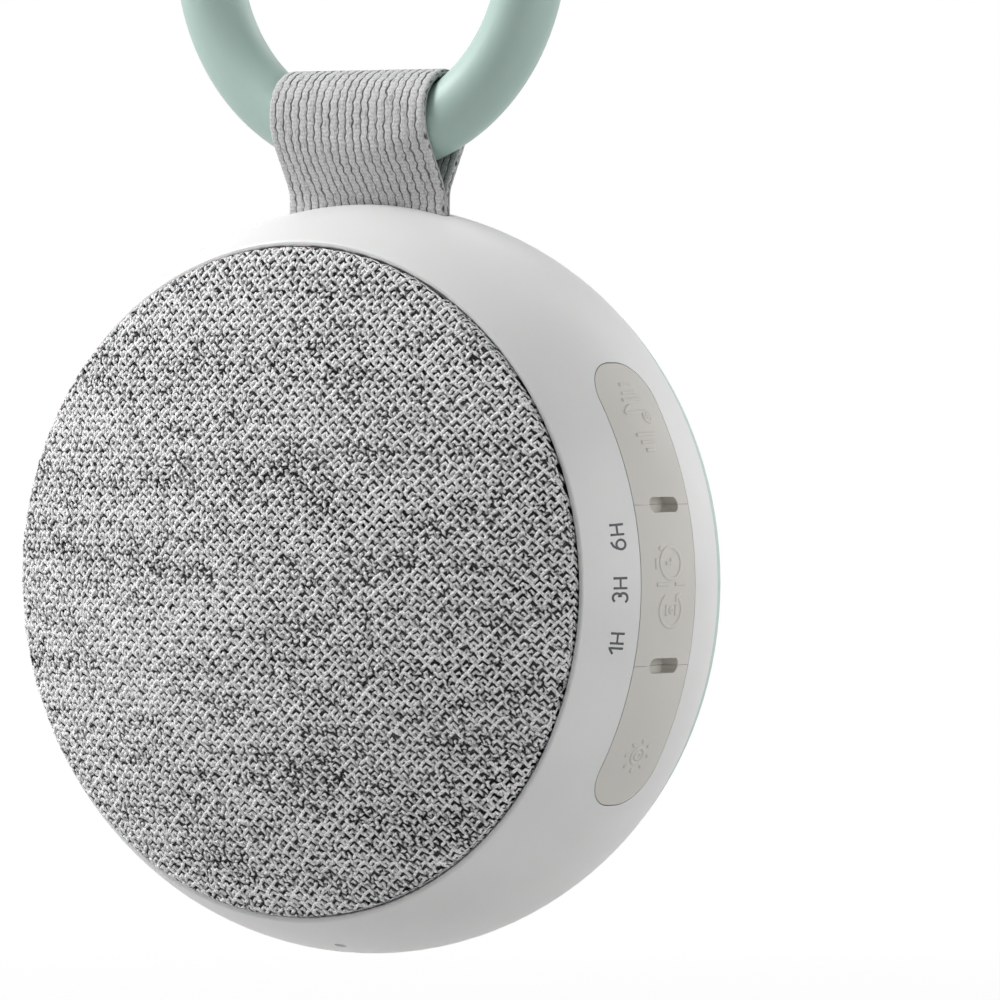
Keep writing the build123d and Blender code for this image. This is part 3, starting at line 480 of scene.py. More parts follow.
@dataclass(frozen=True)
class Webbing(Finish):
    """Ribbed woven strap, on an attribute that counts ribs across and millimetres along; its valleys
    and picks carry painted shade.
    """

    # painted shade: the dark colour of the valleys between the ribs
    valley: Colour = (0.075, 0.075, 0.077)
    zigzag_pitch: float = 1.55        # millimetres along the strap
    zigzag_reach: float = 0.17        # in ribs
    pick_pitch: float = 0.52          # millimetres along the strap

    def paint(self, graph: Graph, shader: bpy.types.Node, place: Socket) -> None:
        """Feed colour and bump from the valleys between the ribs, the picks and the fibres; the dark
        valleys and the picks' light and dark are painted shade.
        """
        weave = graph.attribute("weave", "Vector")
        part = graph.parts(weave)
        steps = graph.math("DIVIDE", part["Y"], self.zigzag_pitch / 2)
        zigzag = graph.math("SUBTRACT", graph.math("PINGPONG", steps, 1.0), 0.5)
        slow = self.wander(graph, weave, (0.6, 0.35, 1.0), 0.6)
        sway = graph.math("ADD", graph.math("MULTIPLY", zigzag, self.zigzag_reach),
                          graph.math("MULTIPLY", graph.math("SUBTRACT", slow, 0.5), 0.7))
        swayed = graph.math("ADD", part["X"], sway)
        beside = graph.math("PINGPONG", swayed, 0.5)
        width = graph.spread(self.wander(graph, weave, (0.9, 0.8, 1.0), 0.7), 0.3, 0.7, 0.06, 0.17)
        rise = graph.math("MINIMUM", graph.math("DIVIDE", beside, width), 1.0)
        yarn = graph.group(Effect.yarn(), {
            "Place": graph.vector("MULTIPLY", weave, Vector((0.00125, 0.001, 0.004))),
            "Stretch": (1.0, 0.4, 1.0), "Fibres per metre": 6500.0, "Contrast": 0.3})
        turn = graph.math("MULTIPLY", graph.math("FLOOR", swayed), math.pi)
        picks = graph.math("SINE", graph.math("MULTIPLY_ADD", part["Y"],
                                              2 * math.pi / self.pick_pitch, turn))
        # painted shade and light across the picks, up to 7 per cent either way
        shade = graph.math("MULTIPLY", yarn["Shade"], graph.spread(picks, -1.0, 1.0, 0.93, 1.07))
        # painted shade: the valleys between the ribs darken towards the valley colour
        rib = graph.ramp(rise, [(0.12, self.valley), (0.6, self.scaled(0.62)), (1.0, self.colour)])
        fibres = graph.math("MULTIPLY", yarn["Dark fibres"], 0.5)
        rib = graph.blend(fibres, rib, self.scaled(0.42))
        graph.feed(shader, {"Base Color": graph.shaded(rib, shade), **CLOTH_GLOSS})
        relief = graph.math("MULTIPLY_ADD", yarn["Height"], 0.3, rise)
        self.bump(graph, shader, relief, 0.00010)

    @staticmethod
    def wander(graph: Graph, weave: Socket, scale: Triple, roughness: float) -> Socket:
        """Slow noise along the weave."""
        place = graph.vector("MULTIPLY", weave, Vector(scale))
        return graph.noise(place, 1.0, 2.0, roughness)


@dataclass(frozen=True)
class Opal(Finish):
    """Lit opal sheet: warm cream, with a golden band where it meets the bezel."""

    centre: Triple = (0.0, 0.0, 0.0)
    radius: float = 0.045
    edge: Colour = (1.0, 0.60, 0.22)
    glow: float = 0.74
    unlit_share: float = 0.28         # of the colour, for light that falls on it

    def paint(self, graph: Graph, shader: bpy.types.Node, place: Socket) -> None:
        """Feed colour and glow from the distance to the disc's centre."""
        local = graph.vector("SUBTRACT", place, Vector(self.centre))
        flat = graph.vector("MULTIPLY", local, Vector((1.0, 0.0, 1.0)))
        share = graph.math("DIVIDE", graph.length(flat), self.radius)
        haze = graph.math("MULTIPLY", graph.math("SUBTRACT", graph.noise(place, 60.0), 0.5), 0.02)
        colour = graph.ramp(graph.math("ADD", share, haze), [
            (0.0, self.colour), (0.86, (1.0, 0.90, 0.62)), (0.96, (1.0, 0.78, 0.40)),
            (1.0, self.edge)])
        surface = graph.blend(1.0 - self.unlit_share, colour, (0.0, 0.0, 0.0))
        graph.feed(shader, {"Base Color": surface, "Emission Color": colour,
                            "Emission Strength": self.glow})
        self.bump(graph, shader, graph.noise(place, 6000.0), 0.000006)


@dataclass(frozen=True)
class Ink(Finish):
    """Pad-printed ink with a slightly uneven film."""

    def paint(self, graph: Graph, shader: bpy.types.Node, place: Socket) -> None:
        """Feed colour from fine noise."""
        film = graph.noise(place, 9000.0)
        graph.feed(shader, {"Base Color": graph.blend(film, self.colour, self.scaled(1.5))})


SAGE = Moulded("sage", (0.39, 0.54, 0.485), 0.43, grain_per_metre=7000.0, relief=0.000004,
               marks=0.06, specular=1.0)
WHITE = Moulded("white_shell", (0.79, 0.79, 0.785), 0.42, grain_per_metre=6000.0, relief=0.000006,
                subsurface=0.08)
SILICONE = Moulded("silicone", (0.68, 0.66, 0.62), 0.55, grain_per_metre=9000.0, relief=0.000006,
                   specular=0.4, sheen=0.08)
SLOT_FINISHES: dict[str, Finish] = {
    "sage_plastic": SAGE,
    "white_plastic": WHITE,
    "key_silicone": SILICONE,
    "steel": Metal("steel", (0.62, 0.62, 0.61), 0.28),
    "black_plastic": Moulded("black_frame", (0.035, 0.035, 0.037)),
    "white_reflector": Moulded("white_reflector", (0.86, 0.86, 0.84), 0.3, relief=0.000004),
    "foam": Fibrous("foam", (0.06, 0.06, 0.065), 0.95, cells_per_metre=2500.0, relief=0.0002),
    "rubber": Moulded("rubber", (0.03, 0.03, 0.03), 0.7),
    "cone_paper": Fibrous("cone_paper", (0.07, 0.068, 0.065), 0.85, cells_per_metre=1800.0),
    "copper": Metal("copper", (0.80, 0.42, 0.26), 0.3, brushing=6000.0),
    "magnet": Metal("magnet", (0.32, 0.32, 0.34), 0.45),
    "battery_wrap": Moulded("battery_wrap", (0.12, 0.22, 0.42), 0.35, relief=0.00002),
    "board_green": Board("board_green", (0.02, 0.13, 0.06), 0.4),
    "led_yellow": Moulded("led_yellow", (0.85, 0.62, 0.10), 0.3, relief=0.000004),
    "stem_plastic": Moulded("stem_plastic", (0.60, 0.60, 0.58), 0.4, relief=0.000006),
}
KNIT_YARN = KnitYarn("knit_yarn", (0.88, 0.88, 0.882), 0.85)
# painted shade: a near-black sheet that stands for the shadow in the pits between the loops
KNIT_GROUND_SHADE = KnitGroundShade("knit_ground_shade", (0.035, 0.035, 0.037), 0.9)
WEBBING = Webbing("webbing", (0.62, 0.62, 0.622), 0.85)
INK = Ink("grey_ink", (0.055, 0.055, 0.06))


# ---------- shapes
@dataclass(frozen=True)
class Drum:
    """The housing's outer surface: one arc turned about the Y axis."""

    centre_z: float
    widest: float
    flank: float = 31.4 * MM

    def point(self, side: int, y: float, angle: float, lift: float = 0.0) -> Vector:
        """Place on or above the side.

        Args:
            side: 1 for the right side, -1 for the left.
            y: Depth.
            angle: Angle about the Y axis, up from the horizontal plane.
            lift: Height above the surface.

        Returns:
            The place in the part's frame.
        """
        fall = math.sqrt(self.flank ** 2 - y ** 2)
        ring, across = self.widest - self.flank + fall, fall / self.flank
        spoke = Vector((side * math.cos(angle), 0.0, math.sin(angle)))
        normal = Vector((spoke.x * across, y / self.flank, spoke.z * across))
        return Vector((0.0, y, self.centre_z)) + spoke * ring + normal * lift


def tube_faces(rows: int, size: int, ring: bool = False, capped: bool = True,
               start: int = 0) -> list[tuple[int, ...]]:
    """Faces of a tube whose points come in rows.

    Args:
        rows: Number of rows along the tube.
        size: Number of points in a row.
        ring: Whether the last row joins the first.
        capped: Whether the ends of an open tube are closed.
        start: Number of the first point.

    Returns:
        Corner numbers of each face.
    """
    faces = []
    for row in range(rows if ring else rows - 1):
        here, after = start + row * size, start + (row + 1) % rows * size
        for item in range(size):
            beside = (item + 1) % size
            faces.append((here + item, here + beside, after + beside, after + item))
    if capped and not ring:
        last = start + (rows - 1) * size
        faces += [tuple(range(start, start + size)), tuple(reversed(range(last, last + size)))]
    return faces


def placed(name: str, data: bpy.types.ID) -> bpy.types.Object:
    """Put a mesh, lamp or camera into the scene.

    Args:
        name: Name of the object.
        data: The mesh, lamp or camera.

    Returns:
        The new object, at the origin.
    """
    piece = bpy.data.objects.new(name, data)
    bpy.context.scene.collection.objects.link(piece)
    return piece


def mesh_piece(name: str, points: list, faces: list, finish: Finish,
               merge: float = 0.0) -> bpy.types.Object:
    """Make a smooth object at the origin from points and faces, with its normals outward.

    Args:
        name: Name of the piece.
        points: Places in the part's frame.
        faces: Corner numbers of each face.
        finish: The surface finish.
        merge: Distance under which points are merged, or 0.

    Returns:
        The new object.
    """
    mesh = bpy.data.meshes.new(name)
    mesh.from_pydata([tuple(point) for point in points], [], faces)
    work = bmesh.new()
    work.from_mesh(mesh)
    if merge:
        bmesh.ops.remove_doubles(work, verts=work.verts, dist=merge)
    bmesh.ops.recalc_face_normals(work, faces=work.faces)
    for face in work.faces:
        face.smooth = True
    work.to_mesh(mesh)
    work.free()
    mesh.materials.append(finish.material())
    return placed(name, mesh)


def store(piece: bpy.types.Object, name: str, values: list[Triple]) -> None:
    """Keep a vector at each point of a piece, for its finish to read."""
    attribute = piece.data.attributes.new(name, "FLOAT_VECTOR", "POINT")
    attribute.data.foreach_set("vector", np.array(values, np.float32).ravel())


# ---------- knit cover
@dataclass(frozen=True)
class Loop:
    """One loop of yarn of the knit, about its own place with +Z outward, in millimetres."""

    name: str
    line: tuple[Triple, ...]          # left half, from its foot to its crown
    yarn_radius: float
    tone_shift: float
    seed: int
    sides: int = 4
    flatness: float = 1.12            # of the yarn's section

    def build(self) -> bpy.types.Object:
        """Make the loop as a tube with the twist of its yarn as an attribute."""
        left = [Vector(point) for point in self.line]
        line = left + [Vector((-point.x, point.y, point.z)) for point in reversed(left[:-1])]
        points, twist = [], []
        run = 0.0
        for index, place in enumerate(line):
            before, after = line[max(index - 1, 0)], line[min(index + 1, len(line) - 1)]
            along = (after - before).normalized()
            across = along.cross(Vector((0, 0, 1))).normalized()
            out = across.cross(along)
            run += (place - before).length
            for side in range(self.sides):
                angle = 2 * math.pi * (side + 0.5) / self.sides
                right, up = self.flatness * math.cos(angle), math.sin(angle)
                reach = Vector((right, up)) * self.yarn_radius
                points.append((place + across * reach.x + out * reach.y) * MM)
                twist.append((math.cos(angle), math.sin(angle), run))
        piece = mesh_piece(self.name, points, tube_faces(len(line), self.sides), KNIT_YARN)
        store(piece, "twist", twist)
        return piece


STITCH = Loop("knit_stitches", ((-1.08, -0.58, -0.20), (-0.74, -0.23, -0.02), (-0.34, 0.17, 0.09),
                                (0.0, 0.43, 0.13)), 0.255, 0.05, 7)
UNDER_LOOP = Loop("knit_under_loops", ((-0.66, -1.14, -0.20), (-0.34, -0.80, 0.0),
                                       (0.0, -0.50, 0.07)), 0.235, 0.0, 23)


class LoopField:
    """Geometry node tree that sets a loop at each place of a half-drop pattern on a dome."""

    SOCKETS = {"Geometry": "Geometry", "Loop": "Object", "Cover radius": "Float",
               "Ball radius": "Float", "Ball depth": "Float", "Centre height": "Float",
               "Wale": "Float", "Course": "Float", "Tuck start": "Float", "Tuck reach": "Float",
               "Tone shift": "Float", "Seed": "Int", "Yarn": "Material"}
    PLACE_CHANCE = (0.10 * MM, 0.10 * MM, 0.07 * MM)
    LEAN_CHANCE = (0.12, 0.12, 0.20)  # radians
    SMALLEST, LARGEST = (0.88, 0.90, 0.85), (1.12, 1.12, 1.2)
    TONE = 0.86
    STREAKS = ((0.22, 100.0, 0.20), (0.16, 420.0, 0.26))   # stretch, waves per metre, share
    TONE_CHANCE = 0.20
    TUCK_SLOPE = 0.6

    def __init__(self) -> None:
        """Build the tree."""
        self.tree = bpy.data.node_groups.new("loop_field", "GeometryNodeTree")
        for name, kind in self.SOCKETS.items():
            self.tree.interface.new_socket(name, in_out="INPUT", socket_type="NodeSocket" + kind)
        self.tree.interface.new_socket("Geometry", in_out="OUTPUT",
                                       socket_type="NodeSocketGeometry")
        self.graph = graph = Graph(self.tree)
        self.given = given = graph.add("NodeGroupInput").outputs
        shape = graph.add("GeometryNodeObjectInfo", {"Object": given["Loop"]})
        size = self.random("FLOAT_VECTOR", given["Seed"], self.SMALLEST, self.LARGEST)
        scattered = graph.add("GeometryNodeInstanceOnPoints", {
            "Points": self.places(), "Instance": shape.outputs["Geometry"],
            "Rotation": self.rotation(), "Scale": size})
        real = graph.add("GeometryNodeRealizeInstances", {"Geometry": scattered.outputs[0]})
        tucked = graph.add("GeometryNodeSetPosition", {"Geometry": real.outputs[0],
                                                       "Position": self.tuck()})
        painted = graph.add("GeometryNodeSetMaterial", {"Geometry": tucked.outputs[0],
                                                        "Material": given["Yarn"]})
        graph.add("NodeGroupOutput", {0: painted.outputs[0]})

    def places(self) -> Socket:
        """Points of the pattern, each with its outward direction and its tone."""
        graph, given = self.graph, self.given
        half_wale = graph.math("DIVIDE", given["Wale"], 2.0)
        columns = self.odd_count(half_wale)
        rows = self.odd_count(given["Course"])
        grid = graph.add("GeometryNodeMeshGrid", {
            "Size X": graph.math("MULTIPLY", graph.math("SUBTRACT", columns, 1.0), half_wale),
            "Size Y": graph.math("MULTIPLY", graph.math("SUBTRACT", rows, 1.0), given["Course"]),
            "Vertices X": columns, "Vertices Y": rows})
        place = self.position()
        column = graph.math("ROUND", graph.math("DIVIDE", place["X"], half_wale))
        odd = graph.math("FLOORED_MODULO", column, 2.0)
        drop = graph.math("MULTIPLY", odd, graph.math("DIVIDE", given["Course"], 2.0))
        shift = graph.parts(self.chance(given["Seed"], self.PLACE_CHANCE))
        across = graph.math("ADD", place["X"], shift["X"])
        up = graph.math("ADD", graph.math("ADD", place["Y"], drop), shift["Y"])
        flat = graph.joined(across, 0.0, up)
        reach = graph.length(flat)
        outside = graph.add("FunctionNodeCompare", {0: reach, 1: given["Cover radius"]},
                            operation="GREATER_THAN")
        square = graph.math("SUBTRACT", graph.math("POWER", given["Ball radius"], 2.0),
                            graph.math("POWER", reach, 2.0))
        fall = graph.math("SQRT", graph.math("MAXIMUM", square, 0.0))
        outward = graph.joined(across, graph.math("MULTIPLY", fall, -1.0), up)
        depth = graph.math("ADD", graph.math("SUBTRACT", given["Ball depth"], fall), shift["Z"])
        shaped = graph.joined(across, depth, graph.math("ADD", up, given["Centre height"]))
        stored = grid.outputs["Mesh"]
        for name, kind, value in (("outward", "FLOAT_VECTOR", outward),
                                  ("tone", "FLOAT", self.tone(flat)),
                                  ("outside", "BOOLEAN", outside.outputs[0])):
            inputs = {"Geometry": stored, "Name": name, "Value": value}
            stored = graph.add("GeometryNodeStoreNamedAttribute", inputs, data_type=kind,
                               domain="POINT").outputs[0]
        bent = graph.add("GeometryNodeSetPosition", {"Geometry": stored, "Position": shaped})
        gone = self.named("outside", "BOOLEAN")
        return graph.add("GeometryNodeDeleteGeometry", {"Geometry": bent.outputs[0],
                                                        "Selection": gone},
                         domain="POINT").outputs[0]

    def rotation(self) -> Socket:
        """Rotation that faces a loop outward and upright, with a lean by chance."""
        graph = self.graph
        faced = graph.add("FunctionNodeAlignRotationToVector", {
            "Vector": self.named("outward", "FLOAT_VECTOR")}, axis="Z")
        upright = graph.add("FunctionNodeAlignRotationToVector", {
            "Rotation": faced.outputs[0], "Vector": (0.0, 0.0, 1.0)}, axis="Y", pivot_axis="Z")
        seed = graph.math("ADD", self.given["Seed"], 1.0)
        lean = graph.add("FunctionNodeEulerToRotation", {0: self.chance(seed, self.LEAN_CHANCE)})
        return graph.add("FunctionNodeRotateRotation", {0: upright.outputs[0],
                                                        1: lean.outputs[0]},
                         rotation_space="LOCAL").outputs[0]

    def tone(self, flat: Socket) -> Socket:
        """Tone of each loop: streaks along the courses, and loops that differ by chance."""
        graph, total = self.graph, self.TONE
        for stretch, scale, share in self.STREAKS:
            drawn = graph.vector("MULTIPLY", flat, Vector((stretch, 1.0, 1.0)))
            streak = graph.spread(graph.noise(drawn, scale, 2.0, 0.6), 0.3, 0.7, -share, share)
            total = graph.math("ADD", total, streak)
        chance = self.random("FLOAT", self.given["Seed"], -self.TONE_CHANCE, self.TONE_CHANCE)
        return graph.math("ADD", graph.math("ADD", total, chance), self.given["Tone shift"])

    def tuck(self) -> Socket:
        """Place of a point of yarn after the rim's loops turn down into the gap."""
        graph, given, here = self.graph, self.given, self.position()
        rise = graph.math("SUBTRACT", here["Z"], given["Centre height"])
        radius = graph.math("SQRT", graph.math("ADD", graph.math("POWER", here["X"], 2.0),
                                               graph.math("POWER", rise, 2.0)))
        excess = graph.math("SUBTRACT", radius, given["Tuck start"])
        beyond = graph.math("MAXIMUM", excess, 0.0)
        kept = graph.math("MINIMUM", graph.math("MULTIPLY", beyond, 0.5), given["Tuck reach"])
        drawn_in = graph.math("ADD", graph.math("SUBTRACT", radius, beyond), kept)
        share = graph.math("DIVIDE", drawn_in, graph.math("MAXIMUM", radius, MM))
        return graph.joined(graph.math("MULTIPLY", here["X"], share),
                            graph.math("MULTIPLY_ADD", beyond, self.TUCK_SLOPE, here["Y"]),
                            graph.math("MULTIPLY_ADD", rise, share, given["Centre height"]))

    def position(self) -> Outputs:
        """The parts of each point's place."""
        return self.graph.parts(self.graph.add("GeometryNodeInputPosition").outputs[0])

    def named(self, name: str, kind: str) -> Socket:
        """Attribute that was stored on the points."""
        return self.graph.add("GeometryNodeInputNamedAttribute", {"Name": name},
                              data_type=kind).outputs["Attribute"]

    def random(self, kind: str, seed: Socket, low: object, high: object) -> Socket:
        """Random number or vector between two limits.

        Args:
            kind: FLOAT or FLOAT_VECTOR.
            seed: Seed of the draw.
            low: Lower limit.
            high: Upper limit.

        Returns:
            The socket of the value.
        """
        node = self.graph.add("FunctionNodeRandomValue", {"Seed": seed}, data_type=kind)
        first = 0 if kind == "FLOAT_VECTOR" else 2
        self.graph.feed(node, {first: low, first + 1: high})
        return node.outputs[first // 2]

    def chance(self, seed: Socket, reach: Triple) -> Socket:
        """Random vector within plus and minus the reach."""
        return self.random("FLOAT_VECTOR", seed, tuple(-value for value in reach), reach)

    def odd_count(self, pitch: Socket) -> Socket:
        """Odd number of places at a pitch that covers the dome on both sides of its middle."""
        steps = self.graph.math("DIVIDE", self.given["Cover radius"], pitch)
        return self.graph.math("MULTIPLY_ADD", self.graph.math("CEIL", steps), 2.0, 1.0)

    def apply(self, name: str, values: dict[str, object]) -> bpy.types.Object:
        """Run the tree and turn its result into a plain mesh object.

        Args:
            name: Name of the finished piece.
            values: Value of each input, by name.

        Returns:
            The finished piece, with no modifiers.
        """
        carrier = placed(name, bpy.data.meshes.new(name))
        modifier = carrier.modifiers.new("loop_field", "NODES")
        modifier.node_group = self.tree
        for item in self.tree.interface.items_tree:
            if item.in_out == "INPUT" and item.name in values:
                modifier[item.identifier] = values[item.name]
        depsgraph = bpy.context.evaluated_depsgraph_get()
        mesh = bpy.data.meshes.new_from_object(
            carrier.evaluated_get(depsgraph), depsgraph=depsgraph, preserve_all_data_layers=True)
        mesh.name = name
        bpy.data.objects.remove(carrier)
        return placed(name, mesh)


@dataclass
class KnitCover:
    """Heather knit stretched over the front: a dark ground cloth, painted shade for the pits, under
    two layers of yarn loops.
    """

    drum: Drum
    wale: float = 2.17 * MM           # two columns of stitches, half a course apart
    course: float = 1.93 * MM
    ground_depth: float = 0.55 * MM   # below the cover's outer surface
    stitch_depth: float = 0.30 * MM
    cloth_thickness: float = 0.4 * MM
    rim_rounding: float = 0.8 * MM
    overhang: float = 1.3 * MM        # of the pattern, past the rim
    tuck_start: float = 0.14 * MM     # the loops turn down over the rim from here outwards
    tuck_reach: float = 0.16 * MM
    turn_steps: int = 160
    dome_steps: int = 40
    rim_steps: int = 8
    stretch: float = 1.04             # of the cloth's area

    def __post_init__(self) -> None:
        """Read the cover's place from the frame and work out the dome."""
        low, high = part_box("knit_cover")
        self.foot_y = high.y
        self.radius = (high.x - low.x) / 2
        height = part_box("housing")[0].y - low.y
        self.ball = (self.radius ** 2 + height ** 2) / (2 * height)
        self.ball_y = low.y + self.ball

    def profile(self, inset: float) -> list[Point2]:
        """Outline (radius, y) from the axis over the shoulder to the foot, at one inset."""
        rim = self.radius - inset
        shoulder = rim - self.rim_rounding
        radii = [shoulder * step / self.dome_steps for step in range(self.dome_steps + 1)]
        points = [(radius, self.ball_y - math.sqrt((self.ball - inset) ** 2 - radius ** 2))
                  for radius in radii]
        top = points.pop()[1]
        for step in range(self.rim_steps + 1):
            angle = math.pi / 2 * step / self.rim_steps
            points.append((shoulder + self.rim_rounding * math.sin(angle),
                           top + self.rim_rounding * (1 - math.cos(angle))))
        return points + [(rim, self.foot_y)]

    def cloth(self) -> bpy.types.Object:
        """The dark ground cloth, painted shade between the loops, a closed thin shell of revolution.
        """
        outline = self.profile(self.ground_depth)
        outline += list(reversed(self.profile(self.ground_depth + self.cloth_thickness)))
        angles = [2 * math.pi * step / self.turn_steps for step in range(self.turn_steps)]
        points = [(radius * math.cos(angle), y, self.drum.centre_z + radius * math.sin(angle))
                  for radius, y in outline for angle in angles]
        faces = tube_faces(len(outline), self.turn_steps, capped=False)
        return mesh_piece("knit_cloth", points, faces, KNIT_GROUND_SHADE, merge=1e-7)

    def cloth_area(self) -> float:
        """Area of one side of the stretched cloth."""
        outline = self.profile(self.ground_depth)
        return sum(math.pi * (first[0] + second[0]) * math.dist(first, second)
                   for first, second in zip(outline, outline[1:]))

    def loops(self, pattern: LoopField, loop: Loop) -> bpy.types.Object:
        """One layer of loops as one plain mesh."""
        shape = loop.build()
        shape.name = loop.name + "_shape"
        piece = pattern.apply(loop.name, {
            "Loop": shape, "Cover radius": self.radius + self.overhang,
            "Ball radius": self.ball - self.stitch_depth, "Ball depth": self.ball_y,
            "Centre height": self.drum.centre_z, "Wale": self.wale, "Course": self.course,
            "Tuck start": self.radius - self.tuck_start, "Tuck reach": self.tuck_reach,
            "Tone shift": loop.tone_shift, "Seed": loop.seed, "Yarn": KNIT_YARN.material()})
        bpy.data.objects.remove(shape)
        return piece

    def build(self) -> None:
        """Build the cover over the front and let it ride on the housing."""
        cloth = self.cloth()
        pattern = LoopField()
        layers = [self.loops(pattern, loop) for loop in (STITCH, UNDER_LOOP)]
        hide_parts("knit_cover")
        for piece in (cloth, *layers):
            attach(piece, "housing")
        area = self.cloth_area() / self.stretch


# ---------- strap
@dataclass
class Strap:
    """Ribbed webbing that goes round the ring and, inside the housing, round its anchor bar."""

    ribs: int = 20
    steps_per_rib: int = 8
    stations: int = 9                 # across half the strap, where the line is worked out
    thickness: float = 1.0 * MM
    step_along: float = 0.42 * MM
    rib_height: float = 0.11 * MM
    valley_width: float = 0.13        # in ribs
    edge_rounding: float = 0.45       # in ribs
    edge_thickness: float = 0.35      # share of the full thickness
    easing: int = 5
    middle_close: float = 1.0 * MM    # the plies meet this far below the fold, in the middle
    edge_rise: float = 1.3 * MM       # and this much higher at the edges
    back_offset: float = 7.0          # in ribs, so that the two faces differ

    def __post_init__(self) -> None:
        """Read the strap's place from the frame."""
        self.loop_low, self.loop_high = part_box("strap_loop")
        self.tail_low, self.tail_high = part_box("strap_tail")
        ring_low, ring_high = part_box("hanging_ring")
        self.ring_radius = ring_high.x - (ring_high.y - ring_low.y) / 2
        self.width = self.loop_high.x - self.loop_low.x
        self.fold = self.loop_low.z + self.thickness

    def centre_line(self, across: float) -> np.ndarray:
        """Closed line (y, z) through the middle of the webbing, at one place across the strap."""
        half = self.thickness / 2
        tube_z = -math.sqrt(self.ring_radius ** 2 - across ** 2)
        slant = -self.ring_radius / tube_z
        reach = self.loop_high.y - half
        top = self.loop_high.z - half - reach
        close = self.fold - self.middle_close + self.edge_rise * (2 * across / self.width) ** 2
        lean = math.asin(reach / (tube_z - close))
        bar = (self.tail_high.y - self.tail_low.y) / 2 - half
        bar_z = self.tail_low.z + bar + half
        right = [(reach * math.cos(a), top + reach * math.sin(a))
                 for a in np.linspace(math.pi / 2, 0, 24)]
        right += [(reach * math.cos(a), tube_z - reach * slant * math.sin(a))
                  for a in np.linspace(0, lean, 9)]
        right += [(half + 0.02 * MM, close), (half, close - 1.0 * MM), (half, bar_z + 2.2 * bar)]
        right += [(bar * math.cos(a), bar_z + bar * math.sin(a))
                  for a in np.linspace(math.pi / 5, -math.pi / 2, 12)]
        left = [(-y, z) for y, z in reversed(right)]
        return np.array(right + left[1:-1])

    @staticmethod
    def even(line: np.ndarray, count: int) -> np.ndarray:
        """Sample a closed line again at an even step."""
        closed = np.vstack([line, line[:1]])
        lengths = np.concatenate([[0.0], np.cumsum(np.hypot(*np.diff(closed, axis=0).T))])
        places = np.linspace(0, lengths[-1], count, endpoint=False)
        return np.column_stack([np.interp(places, lengths, side) for side in closed.T])

    def eased(self, line: np.ndarray, count: int) -> np.ndarray:
        """Sample a closed line at an even step, with its corners eased."""
        line = self.even(line, count)
        for _ in range(self.easing):
            line = (np.roll(line, 1, axis=0) + 2 * line + np.roll(line, -1, axis=0)) / 4
        return self.even(line, count)

    def rise(self, across: float, along: float) -> float:
        """Height of the ribs from 0, in a valley, to 1, at ribs across and millimetres along."""
        zigzag = 1 - abs(along / (WEBBING.zigzag_pitch / 2) % 2 - 1)
        beside = abs((across + WEBBING.zigzag_reach * (zigzag - 0.5) + 0.5) % 1 - 0.5)
        return 1 - math.exp(-(beside / self.valley_width) ** 2)

    def section_lines(self) -> tuple[np.ndarray, np.ndarray]:
        """Places (y, z) and directions of the webbing's middle, by column and by row."""
        first = self.centre_line(0.0)
        length = float(np.hypot(*(np.roll(first, -1, axis=0) - first).T).sum())
        count = int(round(length / self.step_along))
        spots = np.linspace(0, self.width / 2, self.stations)
        lines = np.array([self.eased(self.centre_line(spot), count) for spot in spots])
        tangents = np.roll(lines, -1, axis=1) - np.roll(lines, 1, axis=1)
        tangents /= np.linalg.norm(tangents, axis=2)[:, :, None]
        columns = self.ribs * self.steps_per_rib + 1
        share = np.abs(np.linspace(-1, 1, columns)) * (self.stations - 1)
        low = np.minimum(share.astype(int), self.stations - 2)
        part = (share - low)[:, None, None]
        return tuple(given[low] * (1 - part) + given[low + 1] * part for given in (lines, tangents))

    def build(self) -> None:
        """Build the strap in place of the imported strap pieces."""
        line, tangent = self.section_lines()
        columns, count = self.ribs * self.steps_per_rib, line.shape[1]
        ring = [(column, 1) for column in range(columns + 1)]
        ring += [(column, -1) for column in range(columns, -1, -1)]
        points, weave = [], []
        for row in range(count):
            along = row * self.step_along / MM
            for column, side in ring:
                across = column / self.steps_per_rib
                edge = max(0.0, 1 - min(across, self.ribs - across) / self.edge_rounding)
                fade = self.edge_thickness + (1 - self.edge_thickness) * math.sqrt(1 - edge ** 2)
                valley = self.rib_height * (1 - self.rise(across, along))
                depth = side * fade * (self.thickness / 2 - valley)
                (y, z), (turn_y, turn_z) = line[column, row], tangent[column, row]
                points.append((self.width * (column / columns - 0.5), y - turn_z * depth,
                               z + turn_y * depth))
                shift = 0.0 if side > 0 else self.back_offset
                weave.append((across + shift, along, side * fade))
        faces = tube_faces(count, len(ring), ring=True)
        strap = mesh_piece("webbing_strap", points, faces, WEBBING)
        store(strap, "weave", weave)
        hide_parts("strap_loop", "strap_tail")
        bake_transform(strap)
        LOG.info("strap: %d rows of %d points", count, len(ring))


# ---------- key marks and figures
def arc(centre: Point2, radius: float, start: float, end: float, steps: int = 24) -> list[Point2]:
    """Points of an arc, in millimetres and degrees."""
    return [(centre[0] + radius * math.cos(math.radians(angle)),
             centre[1] + radius * math.sin(math.radians(angle)))
            for angle in np.linspace(start, end, steps)]


def bars(*places: Point2) -> list[list[Point2]]:
    """Upright bars, each from its place and its height."""
    return [[(x, -height / 2), (x, height / 2)] for x, height in places]


class Mark(Enum):
    """Key marks: the key, its side (1 right, -1 left) and the mark's height in millimetres."""

    SOUND = ("sound", 1, 22.6)
    TIMER = ("timer", 1, 0.45)
    LIGHT = ("light", 1, -22.4)
    VOLUME_DOWN = ("volume_down", -1, 22.5)
    VOLUME_UP = ("volume_up", -1, 0.5)
    POWER = ("power", -1, -22.0)


